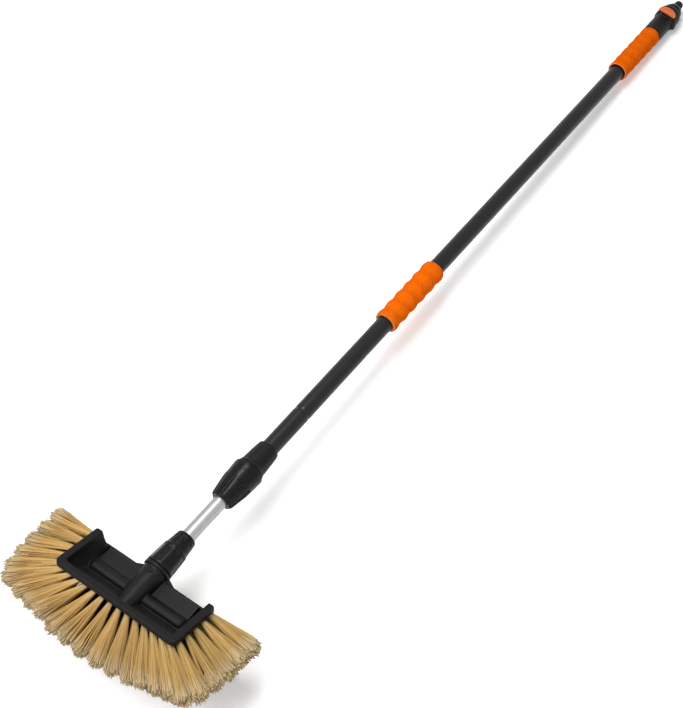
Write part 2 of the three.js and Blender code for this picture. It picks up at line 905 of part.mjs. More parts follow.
// A sealing ring in its groove, a clearance wider than the groove's floor.
function sealRing(outerRadius, at) {
  const inner = outerRadius - ring.thickness;
  const half = ring.width / 2;
  return turned(
    [
      [inner, at - half / 2],
      [outerRadius, at - half],
      [outerRadius, at + half],
      [inner, at + half / 2],
    ],
    smallSides,
  );
}

// The profile points of a groove for a sealing ring, in the order of a growing place.
function groovePoints(radius, at) {
  const floor = radius - ring.thickness - clearance;
  const start = at - sealGroove / 2;
  const end = at + sealGroove / 2;
  return [[radius, start], [floor, start], [floor, end], [radius, end]];
}

const threadBore = neck.spigotRadius + clearance;
const colletStartAt = neck.spigotLength + clearance;
const collarMouth = tubeBore + clearance;
const colletNose = tubeBore + tubeCollet.noseThickness;
const collarThroatAt = neck.spigotLength + 2 * clearance;

function cutSlit(solid, slit, from, to, radius) {
  return solid.subtract(box([-slit / 2, from - overrun, 0], [slit / 2, to + overrun, radius * 2]));
}

function tubeColletSolid() {
  const root = neck.spigotRadius - 2 * clearance;
  const cone = turned(
    [
      [tubeBore, colletStartAt],
      [root, colletStartAt],
      [colletNose, tubeCollet.endAt],
      [tubeBore, tubeCollet.endAt],
    ],
    tubeSides,
  );
  return cutSlit(cone, tubeCollet.slit, colletStartAt, tubeCollet.endAt, root);
}

function collarNutSolid() {
  const n = collarNut;
  const bandEnd = n.stepAt + n.stepHeight;
  const body = turned(
    [
      [threadBore, n.startAt],
      [n.wideRadius - n.edgeBreak, n.startAt],
      [n.wideRadius, n.startAt + n.edgeBreak],
      [n.wideRadius - clearance, n.startAt + 4 * n.edgeBreak],
      [n.bandRadius, n.stepAt - n.edgeBreak],
      [n.bandRadius - n.edgeBreak / 3, n.stepAt],
      [n.bandRadius - n.stepHeight - n.edgeBreak / 3, bandEnd],
      [n.narrowRadius, n.endAt - n.edgeBreak * 2],
      [n.lipRadius, n.endAt - n.edgeBreak / 3],
      [n.lipRadius - n.edgeBreak, n.endAt],
      [collarMouth, n.endAt],
      [collarMouth, n.endAt - n.mouthLength],
      [colletNose + clearance, tubeCollet.endAt + clearance],
      [threadBore - clearance, collarThroatAt],
      [threadBore, collarThroatAt - clearance],
    ],
    nutSides,
  );
  const coneSlope = (n.wideRadius - n.bandRadius) / (n.stepAt - n.startAt);
  const flatAt = (n.startAt + n.stepAt) / 2;
  const flatRadius = (n.wideRadius + n.bandRadius) / 2 - n.flatDepth;
  const bandSlope = (n.bandRadius - n.stepHeight - n.narrowRadius) / (n.endAt - bandEnd);
  const slotRadius = n.narrowRadius + bandSlope * (n.endAt - n.slotAt) - n.slotDepth;
  let nut = body;
  for (let i = 0; i < n.flatCount; i += 1) {
    const place = onCone(i, n.flatCount, flatAt, flatRadius, coneSlope);
    const halfLength = n.flatLength / 2;
    nut = nut.subtract(
      box([-n.wideRadius / 2, -halfLength, 0], [n.wideRadius / 2, halfLength, overrun], place),
    );
    const slotPlace = onCone(i + 0.5, n.flatCount, n.slotAt, slotRadius, bandSlope);
    nut = nut.subtract(slotSolid(n.slotWidth, n.slotLength, 0, overrun, slotPlace));
  }
  return nut;
}

const outerBore = outerTube.radius - outerTube.wall;
const innerTubeEndAt = spigotAt - innerTube.endGap;
const outerTubeEndAt = valve.barrelAt - clearance;
const middleGripEndAt = middleGrip.startAt + middleGrip.length;
const endGripStartAt = outerTubeEndAt - endGrip.length;

function tubePiston() {
  const startAt = innerTubeEndAt + clearance;
  const plugRadius = innerTube.radius - innerTube.wall - clearance;
  const outer = outerBore - clearance;
  const profile = [
    [piston.boreRadius, startAt - piston.plugLength],
    [plugRadius, startAt - piston.plugLength],
    [plugRadius, startAt],
    [outer, startAt],
  ];
  pistonGrooves().forEach((at) => profile.push(...groovePoints(outer, at)));
  profile.push([outer, pistonEndAt()], [piston.boreRadius, pistonEndAt()]);
  return turned(profile, smallSides);
}

function pistonGrooves() {
  const first = innerTubeEndAt + clearance + piston.landLength + sealGroove / 2;
  return [0, 1].map((i) => first + i * (piston.landLength + sealGroove));
}

function pistonEndAt() {
  return pistonGrooves()[piston.grooveCount - 1] + sealGroove / 2 + piston.endLand;
}

const lockMouth = tubeBore + clearance;
const sleeveSpigotRadius = lockNut.boreRadius - clearance;
const sleeveSpigotAt = lockSleeve.flangeAt - lockSleeve.spigotLength;
const lockConeStart = lockNut.startAt + lockNut.mouthLength;

// The lock nut's inner cone: its radius at a place.
function lockConeAt(at) {
  const share = (at - lockConeStart) / (lockNut.throatAt - lockConeStart);
  return lockMouth + clearance + share * (lockNut.boreRadius - lockMouth - clearance);
}

function lockNutSolid() {
  const n = lockNut;
  const length = n.endAt - n.startAt;
  const outer = n.coneShares.map(([along, share]) => [n.radius * share, n.startAt + length * along]);
  const body = turned(
    [
      [lockMouth, n.startAt],
      ...outer,
      [n.boreRadius + n.noseWall, n.endAt],
      [n.boreRadius, n.endAt - n.noseWall],
      [n.boreRadius, n.throatAt],
      [lockConeAt(lockConeStart), lockConeStart],
      [lockMouth, lockConeStart],
    ],
    nutSides,
  );
  const [lowAt, lowRadius] = [outer[2][1], outer[2][0]];
  const [highAt, highRadius] = [outer[5][1], outer[5][0]];
  const slope = (highRadius - lowRadius) / (highAt - lowAt);
  const surface = lowRadius + slope * (n.fluteAt - lowAt);
  let nut = body;
  for (let i = 0; i < n.fluteCount; i += 1) {
    const place = onCone(i, n.fluteCount, n.fluteAt, surface - n.fluteDepth, -slope);
    const flute = slotSolid(n.fluteWidth, n.fluteLength, 0, overrun, place);
    const ribLength = n.fluteLength - n.fluteWidth;
    const rib = slotSolid(n.ribWidth, ribLength, -overrun, n.ribHeight, place);
    nut = nut.subtract(flute.subtract(rib));
  }
  return nut;
}

function lockColletSolid() {
  const endAt = sleeveSpigotAt - clearance;
  const cone = turned(
    [
      [tubeBore, lockCollet.startAt],
      [lockConeAt(lockCollet.startAt) - clearance, lockCollet.startAt],
      [lockConeAt(endAt) - clearance, endAt],
      [tubeBore, endAt],
    ],
    tubeSides,
  );
  return cutSlit(cone, lockCollet.slit, lockCollet.startAt, endAt, lockNut.boreRadius);
}

// The sleeve on the outer tube's mouth. Every other side of its cone lies a little lower.
function lockSleeveSolid() {
  const s = lockSleeve;
  const length = s.endAt - s.flangeAt;
  const cone = s.coneShares.map(([along, share]) => [s.radius * share, s.flangeAt + length * along]);
  const seatAt = outerTube.startAt - clearance;
  const profile = [
    [tubeBore, sleeveSpigotAt],
    [sleeveSpigotRadius, sleeveSpigotAt],
    [sleeveSpigotRadius, s.flangeAt - s.ringLength],
    [s.ringRadius, s.flangeAt - s.ringLength],
    [s.ringRadius, s.flangeAt],
    ...cone,
    [outerTube.radius + clearance, s.endAt],
    [outerTube.radius + clearance, seatAt],
    [tubeBore, seatAt],
  ];
  const geometry = turnedGeometry(profile, nutSides);
  const position = geometry.getAttribute("position");
  const step = (2 * halfTurn) / nutSides;
  for (let i = 0; i < position.count; i += 1) {
    const [x, y, z] = [position.getX(i), position.getY(i), position.getZ(i)];
    const radius = Math.hypot(x, z);
    const side = Math.round(Math.atan2(x, z) / step);
    const outside = radius > outerTube.radius + 2 * clearance;
    if (outside && y > s.ribStartAt && y < s.ribEndAt && side % 2 !== 0) {
      const share = 1 - s.ribDepth / radius;
      position.setXYZ(i, x * share, y, z * share);
    }
  }
  return solidOf(geometry);
}

function outerTubeSolid() {
  const t = outerTube;
  const grooveWall = (radius) => [
    [radius, t.grooveAt - t.grooveWidth],
    [radius - t.grooveDepth, t.grooveAt - t.grooveWidth / 2],
    [radius - t.grooveDepth, t.grooveAt + t.grooveWidth / 2],
    [radius, t.grooveAt + t.grooveWidth],
  ];
  return turned(
    [
      [t.radius, t.startAt],
      ...grooveWall(t.radius),
      [t.radius, outerTubeEndAt],
      [outerBore, outerTubeEndAt],
      ...grooveWall(outerBore).reverse(),
      [outerBore, t.startAt],
    ],
    tubeSides,
  );
}

// A foam grip: waves along it, rounded ends and a mouth that stands off the tube.
function gripSolid(g, startAt, endAt) {
  const crestAt = startAt + g.crestLead;
  const wave = (at) => {
    const swing = (1 + Math.cos((2 * halfTurn * (at - crestAt)) / g.pitch)) / 2;
    return g.valleyRadius + (g.peakRadius - g.valleyRadius) * swing;
  };
  const bore = outerTube.radius + clearance;
  const profile = [
    [bore, startAt + g.mouthLength],
    [g.mouthRadius, startAt],
    [g.valleyRadius - grip.endRound, startAt],
    [g.valleyRadius - grip.endRound / 3, startAt + grip.endRound / 3],
  ];
  const first = startAt + grip.endRound;
  const last = endAt - grip.endRound;
  const step = g.pitch / grip.samples;
  const count = Math.floor((last - crestAt) / step);
  profile.push([wave(first), first]);
  for (let i = 0; i <= count; i += 1) {
    const at = crestAt + step * i;
    profile.push([wave(at), at]);
  }
  profile.push(
    [wave(last), last],
    [g.valleyRadius - grip.endRound / 3, endAt - grip.endRound / 3],
    [g.valleyRadius - grip.endRound, endAt],
    [bore, endAt],
  );
  return turned(profile, gripSides);
}

const plugCavity = valve.plugRadius + clearance;
const seatStartAt = plugAt - valve.seatLength;
const seatEndAt = plugAt + valve.seatLength;
// The plug and its knob stand a little to one side on the housing.
const plugPlace = new THREE.Matrix4()
  .makeRotationY(valve.turn * degree)
  .multiply(moved(0, plugAt, 0));
const plugMatrix = plugPlace.clone().multiply(turnToZ);

function valveBody() {
  const v = valve;
  const spigot = outerBore - clearance;
  const round = v.bulgeRound;
  const outside = turned(
    [
      [0, spigotAt],
      [spigot, spigotAt],
      ...groovePoints(spigot, spigotGrooveAt),
      [spigot, v.barrelAt],
      [v.barrelRadius - v.edgeBreak, v.barrelAt],
      [v.barrelRadius, v.barrelAt + v.edgeBreak],
      [v.barrelRadius, bulgeStartAt],
      [v.bulgeRadius - round / 3, bulgeStartAt + round],
      [v.bulgeRadius, bulgeStartAt + 2 * round],
      [v.bulgeRadius, bulgeEndAt],
      [v.bulgeRadius - round / 2, bulgeEndAt + round],
      [v.shoulderRadius, shoulderStartAt],
      [v.shoulderRadius, shoulderEndAt],
      [v.noseRadius, noseEndAt],
      [0, noseEndAt],
    ],
    tubeSides,
  );
  const pad = rod(v.padRadius, 0, v.padHeight, smallSides, plugMatrix);
  const lobeMatrix = moved(0, lobeAt, -v.lobeDrop).multiply(turnToX);
  const lobe = turned(
    [
      [0, 0],
      [v.lobeRadius, 0],
      [v.lobeRadius, v.lobeReach - v.bulgeRound],
      [v.lobeRadius - v.bulgeRound / 3, v.lobeReach - v.bulgeRound / 3],
      [v.lobeRadius - v.bulgeRound, v.lobeReach],
      [0, v.lobeReach],
    ],
    smallSides,
    lobeMatrix,
  );
  const above = box(
    [-v.bulgeRadius, -v.padRadius, v.padHeight],
    [v.bulgeRadius, v.padRadius, v.bulgeRadius + overrun],
    plugPlace,
  );
  const seatBore = v.seatRadius + clearance;
  const socketAt = noseEndAt - v.socketDepth;
  const seatWallAt = seatStartAt - clearance - v.bulgeRound;
  let body = joined(outside, pad, lobe).subtract(above);
  body = body.subtract(rod(plugCavity, -v.plugDepth - clearance, v.bulgeRadius, tubeSides, plugMatrix));
  body = body.subtract(rod(v.spigotBore, spigotAt - overrun, seatWallAt, smallSides));
  body = body.subtract(rod(v.passageRadius, spigotAt, noseEndAt, smallSides));
  body = body.subtract(rod(seatBore, seatStartAt - clearance, seatEndAt + clearance, smallSides));
  const socket = nipple.rootRadius + clearance;
  return body.subtract(rod(socket, socketAt, noseEndAt + overrun, smallSides));
}

function valveSeat(from, to) {
  const whole = pipe(valve.seatRadius, valve.passageRadius, from, to, smallSides);
  return whole.subtract(rod(plugCavity, -valve.bulgeRadius, valve.bulgeRadius, tubeSides, plugMatrix));
}

// The plug turns in the housing. At rest its bore lies across the flow, so the valve is closed.
function valvePlug() {
  const top = valve.padHeight - clearance;
  const across = plugPlace.clone().multiply(turnToX);
  const solid = turned(
    [
      [0, -valve.plugDepth],
      [valve.plugRadius, -valve.plugDepth],
      ...groovePoints(valve.plugRadius, plugSeal.at),
      [valve.plugRadius, top],
      [0, top],
    ],
    tubeSides,
    plugMatrix,
  );
  const half = 2 * valve.plugRadius;
  return solid.subtract(rod(valve.passageRadius, -half, half, smallSides, across));
}

// A lying half-moon on a short stem, clear of the housing's bulge at every turn.
function valveKnob() {
  const k = knob;
  const plateFrom = valve.bulgeRadius + 2 * clearance;
  const stemTo = plateFrom + k.thickness / 2;
  const stem = rod(k.stemRadius, valve.padHeight + clearance, stemTo, smallSides, plugMatrix);
  const shape = new THREE.Shape();
  const halfWidth = k.width / 2 - k.bevel;
  const chord = k.bevel - k.chordAt;
  shape.moveTo(-halfWidth, chord);
  shape.lineTo(halfWidth, chord);
  shape.absellipse(0, chord, halfWidth, k.length - 2 * k.bevel, 0, halfTurn, false, 0);
  const plate = new THREE.ExtrudeGeometry(shape, {
    depth: k.thickness - 2 * k.bevel,
    bevelThickness: k.bevel,
    bevelSize: k.bevel,
    bevelSegments: 2,
    curveSegments: 2 * arcSteps,
  });
  const place = plugPlace.clone().multiply(moved(0, 0, plateFrom + k.bevel));
  return stem.add(solidOf(plate, place));
}

function hoseNipple() {
  const n = nipple;
  const flangeAt = noseEndAt + clearance;
  const neckAt = flangeAt + n.flangeThickness;
  const headAt = neckAt + n.neckLength;
  const endAt = headAt + n.headLength;
  return turned(
    [
      [n.boreRadius, noseEndAt - valve.socketDepth + clearance],
      [n.rootRadius, noseEndAt - valve.socketDepth + clearance],
      [n.rootRadius, flangeAt],
      [n.flangeRadius - n.edgeBreak, flangeAt],
      [n.flangeRadius, flangeAt + n.edgeBreak],
      [n.flangeRadius, neckAt],
      [n.neckRadius, neckAt],
      [n.neckRadius, headAt],
      [n.headRadius, headAt + n.edgeBreak],
      ...groovePoints(n.headRadius, nippleSealAt()),
      [n.headRadius, endAt - n.edgeBreak],
      [n.headRadius - n.edgeBreak, endAt],
      [n.boreRadius, endAt],
    ],
    smallSides,
  );
}

function nippleSealAt() {
  const headAt = noseEndAt + clearance + nipple.flangeThickness + nipple.neckLength;
  return headAt + nipple.headLength * nipple.grooveShare;
}

function finish(color, roughness, metalness = 0) {
  return new THREE.MeshStandardMaterial({ color, roughness, metalness, flatShading: true });
}

const finishes = {
  blackPlastic: finish(0x26282b, 0.45),
  blockPlastic: finish(0x1a1917, 0.7),
  fibre: finish(0xc8a05a, 0.85),
  aluminium: finish(0xc9c9c8, 0.3, 1),
  charcoal: finish(0x2d2d2b, 0.45, 0.3),
  foam: finish(0xf56e05, 0.9),
  orangePlastic: finish(0xce6231, 0.5),
  rubber: finish(0x151515, 0.8),
  steel: finish(0x8d9095, 0.35, 1),
};

const headGroup = new THREE.Group();
headGroup.applyMatrix4(headToHandle);
const handleGroup = new THREE.Group();
handleGroup.applyMatrix4(handleToFloor);
handleGroup.add(headGroup);
const brush = new THREE.Group();
brush.add(handleGroup);

function place(group, name, solid, material) {
  const mesh = new THREE.Mesh(geometryOf(solid), material);
  mesh.name = name;
  group.add(mesh);
}

const f = finishes;
place(headGroup, "head_housing", headHousing(), f.blackPlastic);
place(headGroup, "bristle_block", bristleBlock(), f.blockPlastic);
place(headGroup, "front_bristles", slantedSlice(frontCorners, frontTufts()), f.fibre);
place(headGroup, "right_bristles", slantedSlice(rightCorners, endTufts()), f.fibre);
place(headGroup, "left_bristles", slantedSlice(leftCorners, mirrored(endTufts())), f.fibre);
place(headGroup, "bottom_bristles", bottomSlice(), f.fibre);
place(headGroup, "block_gasket", gasketRing(0, gasketTop - gasket.thickness, gasketTop), f.rubber);
screwPlaces.forEach((at, i) =>
  place(headGroup, `block_screw_${i + 1}`, blockScrew(at), f.steel),
);

const sealOuter = innerTube.radius;
const sealStartAt = boreEndAt + clearance;
const neckSealSolid = pipe(
  sealOuter,
  sealOuter - neckSeal.thickness,
  sealStartAt,
  sealStartAt + neckSeal.width,
  tubeSides,
);
place(handleGroup, "neck_seal", neckSealSolid, f.rubber);
place(handleGroup, "tube_collet", tubeColletSolid(), f.blackPlastic);
place(handleGroup, "collar_nut", collarNutSolid(), f.blackPlastic);

const innerWall = innerTube.radius - innerTube.wall;
const innerTubeSolid = pipe(
  innerTube.radius,
  innerWall,
  innerTube.startAt,
  innerTubeEndAt,
  tubeSides,
);
place(handleGroup, "inner_tube", innerTubeSolid, f.aluminium);
place(handleGroup, "tube_piston", tubePiston(), f.blackPlastic);
const pistonSealRadius = outerBore - clearance;
const [frontGroove, rearGroove] = pistonGrooves();
place(handleGroup, "piston_seal_front", sealRing(pistonSealRadius, frontGroove), f.rubber);
place(handleGroup, "piston_seal_rear", sealRing(pistonSealRadius, rearGroove), f.rubber);

place(handleGroup, "lock_nut", lockNutSolid(), f.blackPlastic);
place(handleGroup, "lock_collet", lockColletSolid(), f.blackPlastic);
place(handleGroup, "lock_sleeve", lockSleeveSolid(), f.blackPlastic);
place(handleGroup, "outer_tube", outerTubeSolid(), f.charcoal);
const middleGripSolid = gripSolid(middleGrip, middleGrip.startAt, middleGripEndAt);
place(handleGroup, "middle_grip", middleGripSolid, f.foam);
place(handleGroup, "end_grip", gripSolid(endGrip, endGripStartAt, outerTubeEndAt), f.foam);

place(handleGroup, "valve_body", valveBody(), f.blackPlastic);
place(handleGroup, "spigot_seal", sealRing(pistonSealRadius, spigotGrooveAt), f.rubber);
place(handleGroup, "valve_seat_front", valveSeat(seatStartAt, plugAt), f.rubber);
place(handleGroup, "valve_seat_rear", valveSeat(plugAt, seatEndAt), f.rubber);
place(handleGroup, "valve_plug", valvePlug(), f.blackPlastic);
const plugRing = sealRing(valve.plugRadius, plugSeal.at);
const plugRingSolid = solidOf(geometryOf(plugRing), plugMatrix);
place(handleGroup, "plug_seal", plugRingSolid, f.rubber);
place(handleGroup, "valve_knob", valveKnob(), f.orangePlastic);
place(handleGroup, "hose_nipple", hoseNipple(), f.blackPlastic);
place(handleGroup, "nipple_seal", sealRing(nipple.headRadius, nippleSealAt()), f.rubber);

// The origin goes to the floor under the middle of the brush.
const bounds = new THREE.Box3().setFromObject(brush, true);
brush.children.forEach((group) => {
  group.position.y -= (bounds.min.y + bounds.max.y) / 2;
  group.position.z -= bounds.min.z;
});

export default brush;
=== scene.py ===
import json
import math
import random

import bmesh
import bpy
from mathutils import Matrix, Vector, noise as turbulence


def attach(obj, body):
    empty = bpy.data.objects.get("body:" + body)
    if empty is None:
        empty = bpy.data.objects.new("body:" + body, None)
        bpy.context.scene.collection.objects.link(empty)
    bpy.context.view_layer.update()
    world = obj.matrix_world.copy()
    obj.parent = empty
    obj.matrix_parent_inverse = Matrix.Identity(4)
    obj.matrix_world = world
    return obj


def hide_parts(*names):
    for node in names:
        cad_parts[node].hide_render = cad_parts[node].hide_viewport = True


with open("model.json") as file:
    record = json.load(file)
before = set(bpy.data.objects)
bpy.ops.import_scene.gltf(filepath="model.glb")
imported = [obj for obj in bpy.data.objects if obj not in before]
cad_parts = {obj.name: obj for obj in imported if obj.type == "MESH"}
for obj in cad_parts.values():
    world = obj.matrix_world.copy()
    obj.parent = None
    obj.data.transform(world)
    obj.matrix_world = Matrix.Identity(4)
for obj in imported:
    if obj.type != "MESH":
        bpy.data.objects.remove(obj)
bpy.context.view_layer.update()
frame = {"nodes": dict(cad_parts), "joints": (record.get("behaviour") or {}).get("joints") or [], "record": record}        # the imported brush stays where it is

scene = bpy.context.scene
joints = {joint["name"]: joint for joint in frame["joints"]}
mm = 0.001

# Pieces are modelled in millimetres. On the handle y runs along it from the neck's flange;
# on the head x runs along it, y to the rear and z out of the rim.
handleWay = Vector(joints["telescope"]["axis"]).normalized()
handleUp = Vector((1, 0, 0)).cross(handleWay)
handleTilt = math.atan2(-handleWay.z, handleWay.y)
handleStart = Vector(joints["tube_turn"]["pos_m"])
handleSpace = Matrix.Translation(handleStart) @ Matrix(
    ((1, 0, 0), (0, handleWay.y, handleUp.y), (0, handleWay.z, handleUp.z))
).to_4x4() @ Matrix.Scale(mm, 4)
neckTilt = math.radians(15.74)
neckAt = 88.2
neckDrop = 12.2
headOnHandle = Matrix.Rotation(-neckTilt, 4, "X") @ Matrix.Translation((0, -neckAt, neckDrop))
headSpace = handleSpace @ headOnHandle
handleOnHead = headOnHandle.inverted()


# Camera of the photograph
view = {
    "place": (802.6, -494.7, 1497.1),
    "right": (0.8001, 0.5966, -0.0627),
    "up": (-0.4271, 0.6399, 0.6388),
    "back": (0.4212, -0.4844, 0.7668),
    "focalPixels": 1250.0,
    "pixelsHigh": 708.0,
    "sensor": 36.0,
    "clip": (0.05, 50.0),
}


def makeCamera():
    data = bpy.data.cameras.new("camera")
    data.sensor_width = view["sensor"]
    data.lens = view["sensor"] * view["focalPixels"] / view["pixelsHigh"]
    data.clip_start, data.clip_end = view["clip"]
    camera = bpy.data.objects.new("camera", data)
    scene.collection.objects.link(camera)
    turn = Matrix([view["right"], view["up"], view["back"]]).transposed().to_4x4()
    turnOnly = handleSpace.to_3x3().normalized().to_4x4()
    camera.matrix_world = Matrix.Translation(handleSpace @ Vector(view["place"])) @ turnOnly @ turn
    scene.camera = camera


makeCamera()
print("camera set")


# Mesh tools
def newObject(name, data):
    piece = bpy.data.objects.new(name, data)
    scene.collection.objects.link(piece)
    return piece


def solidOf(name, points, faces):
    # A closed mesh with its doubles merged and its faces outwards.
    mesh = bpy.data.meshes.new(name)
    mesh.from_pydata([tuple(point) for point in points], [], faces)
    form = bmesh.new()
    form.from_mesh(mesh)
    bmesh.ops.remove_doubles(form, verts=form.verts, dist=0.0001)
    bmesh.ops.recalc_face_normals(form, faces=form.faces)
    form.to_mesh(mesh)
    form.free()
    return newObject(name, mesh)


def bake(piece):
    # The evaluated mesh takes the place of the mesh and its modifiers.
    graph = bpy.context.evaluated_depsgraph_get()
    made = bpy.data.meshes.new_from_object(piece.evaluated_get(graph), depsgraph=graph)
    piece.modifiers.clear()
    piece.data = made
    return piece


def combine(piece, other, operation="DIFFERENCE"):
    cut = piece.modifiers.new("cut", "BOOLEAN")
    cut.solver = "MANIFOLD"
    cut.operation = operation
    cut.object = other
    bake(piece)
    bpy.data.objects.remove(other)
    return piece


def united(piece, *others):
    for other in others:
        combine(piece, other, "UNION")
    return piece


def soften(piece, voxel, passes):
    # Melts the piece into one skin with the small round edges of a moulding.
    skin = piece.modifiers.new("skin", "REMESH")
    skin.mode = "VOXEL"
    skin.voxel_size = voxel
    calm = piece.modifiers.new("calm", "SMOOTH")
    calm.factor = 0.5
    calm.iterations = passes
    return bake(piece)


def settle(piece, space, body, material, slot, *nodes):
    # Puts a finished piece into the frame, on its body, with its finish.
    piece.data.transform(space)
    piece.data.update()
    for face in piece.data.polygons:
        face.use_smooth = True
    piece.data.materials.clear()
    piece.data.materials.append(material)
    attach(piece, body)
    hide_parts(*nodes)
    return piece


def rounded(corners, radius, steps=4):
    # A profile with each inner corner drawn as a small curve.
    soft = [corners[0]]
    for before, corner, after in zip(corners, corners[1:], corners[2:]):
        here = Vector(corner)
        back = Vector(before) - here
        on = Vector(after) - here
        reach = min(radius, back.length * 0.45, on.length * 0.45)
        start = here + back.normalized() * reach
        end = here + on.normalized() * reach
        for step in range(steps + 1):
            share = step / steps
            low = start.lerp(here, share)
            soft.append(tuple(low.lerp(here.lerp(end, share), share)))
    soft.append(corners[-1])
    return soft


def lathe(name, profile, sides=96, closed=False, space=None):
    # Turns [radius, place] points about the handle's axis. A closed profile makes a pipe.
    points = []
    rings = []
    for radius, at in profile:
        if radius < 1e-6:
            rings.append([len(points)] * sides)
            points.append(Vector((0, at, 0)))
            continue
        rings.append([len(points) + i for i in range(sides)])
        for i in range(sides):
            angle = 2 * math.pi * i / sides
            points.append(Vector((radius * math.sin(angle), at, radius * math.cos(angle))))
    pairs = list(zip(rings, rings[1:]))
    if closed:
        pairs.append((rings[-1], rings[0]))
    faces = []
    for low, high in pairs:
        for i in range(sides):
            j = (i + 1) % sides
            face = list(dict.fromkeys((low[i], low[j], high[j], high[i])))
            if len(face) > 2:
                faces.append(face)
    if space:
        points = [space @ point for point in points]
    return solidOf(name, points, faces)


def loft(name, rings):
    # A solid through outlines of equal point counts.
    count = len(rings[0])
    points = [point for ring in rings for point in ring]
    faces = []
    for level in range(len(rings) - 1):
        low = level * count
        for i in range(count):
            j = (i + 1) % count
            faces.append((low + i, low + j, low + count + j, low + count + i))
    faces.append(tuple(range(count)))
    faces.append(tuple(range(len(points) - count, len(points))))
    return solidOf(name, points, faces)


def prism(name, corners, low, high, place=None):
    # A flat outline raised between two levels. Place turns its points (a, b, level) into others.
    rings = [[(a, b, level) for a, b in corners] for level in (low, high)]
    if place:
        rings = [[place(*point) for point in ring] for ring in rings]
    return loft(name, [[Vector(point) for point in ring] for ring in rings])


def box(name, low, high):
    corners = ((low[0], low[1]), (high[0], low[1]), (high[0], high[1]), (low[0], high[1]))
    return prism(name, corners, low[2], high[2])


def rod(name, radius, low, high, space=None, sides=64):
    return lathe(name, [(0.0, low), (radius, low), (radius, high), (0.0, high)], sides, space=space)


def pipeProfile(outer, inner, corner):
    # The outer line forwards, its corners rounded, and the inner line back.
    return rounded(outer, corner) + list(reversed(inner))


def slotOutline(width, length, steps=8):
    # A slot with round ends, its length along y.
    radius = width / 2
    straight = length / 2 - radius
    upper = []
    for step in range(steps + 1):
        angle = math.pi * step / steps
        upper.append((radius * math.cos(angle), straight + radius * math.sin(angle)))
    return upper + [(-a, -b) for a, b in upper]


def oblong(width, length):
    half, reach = width / 2, length / 2
    return [(-half, -reach), (half, -reach), (half, reach), (-half, reach)]


def slopeOf(low, high):
    # Rise of the radius for each millimetre along the handle, between two profile points.
    return (high[0] - low[0]) / (high[1] - low[1])


# Geometry Nodes tools
def addInputs(tree, sockets):
    # Makes the tree's geometry input and its named inputs, and gives back their identifiers.
    tree.interface.new_socket("Geometry", in_out="INPUT", socket_type="NodeSocketGeometry")
    found = {}
    for name, kind in sockets.items():
        made = tree.interface.new_socket(name, in_out="INPUT", socket_type="NodeSocket" + kind)
        found[name] = made.identifier
    tree.interface.new_socket("Geometry", in_out="OUTPUT", socket_type="NodeSocketGeometry")
    return found


def put(tree, kind, links=None, **settings):
    # Adds a node. Links name an input, by name or number, and its socket or plain value.
    node = tree.nodes.new(kind)
    for name, value in settings.items():
        setattr(node, name, value)
    for name, value in (links or {}).items():
        if isinstance(value, bpy.types.NodeSocket):
            tree.links.new(value, node.inputs[name])
        else:
            node.inputs[name].default_value = value
    return node


def numbers(tree, operation, *values):
    node = put(tree, "ShaderNodeMath", dict(enumerate(values)), operation=operation)
    return node.outputs[0]


def vectors(tree, operation, *values):
    node = put(tree, "ShaderNodeVectorMath", dict(enumerate(values)), operation=operation)
    return node.outputs["Vector"]


def scaled(tree, vector, factor):
    node = put(tree, "ShaderNodeVectorMath", {0: vector, "Scale": factor}, operation="SCALE")
    return node.outputs["Vector"]


def useTree(piece, tree, identifiers, values):
    maker = piece.modifiers.new(tree.name, "NODES")
    maker.node_group = tree
    for name, value in values.items():
        maker[identifiers[name]] = value
    return bake(piece)


def endTree(tree, geometry, material):
    # Every tree ends as plain geometry in one finish.
    real = put(tree, "GeometryNodeRealizeInstances", {"Geometry": geometry})
    values = {"Geometry": real.outputs[0], "Material": material}
    finish = put(tree, "GeometryNodeSetMaterial", values)
    put(tree, "NodeGroupOutput", {"Geometry": finish.outputs[0]})


def makeRingTree():
    # Copies of a shape round the handle's axis, by count and first angle.
    tree = bpy.data.node_groups.new("copiesRoundAxis", "GeometryNodeTree")
    inputs = addInputs(tree, {"Count": "Int", "First angle": "Float", "Material": "Material"})
    source = put(tree, "NodeGroupInput")
    spots = put(tree, "GeometryNodePoints", {"Count": source.outputs["Count"]})
    number = put(tree, "GeometryNodeInputIndex")
    step = numbers(tree, "DIVIDE", 2 * math.pi, source.outputs["Count"])
    angle = numbers(tree, "MULTIPLY_ADD", number.outputs[0], step, source.outputs["First angle"])
    turn = put(tree, "ShaderNodeCombineXYZ", {"Y": angle})
    copies = put(tree, "GeometryNodeInstanceOnPoints", {
        "Points": spots.outputs[0],
        "Instance": source.outputs["Geometry"],
        "Rotation": turn.outputs[0],
    })
    endTree(tree, copies.outputs[0], source.outputs["Material"])
    return tree, inputs


ringTree, ringInputs = makeRingTree()


def aroundAxis(piece, count, firstAngle, material):
    values = {"Count": count, "First angle": firstAngle, "Material": material}
    return useTree(piece, ringTree, ringInputs, values)


def ringOf(outline, low, high, at, radius, slope, count, material, firstAngle=0.0):
    # A ring of low blocks on a cone of the handle, each raised on its outline.
    shape = prism("ring", outline, low, high)
    place = Matrix.Translation((0, at, radius)) @ Matrix.Rotation(math.atan(slope), 4, "X")
    shape.data.transform(place)
    return aroundAxis(shape, count, firstAngle, material)


print("tools ready")


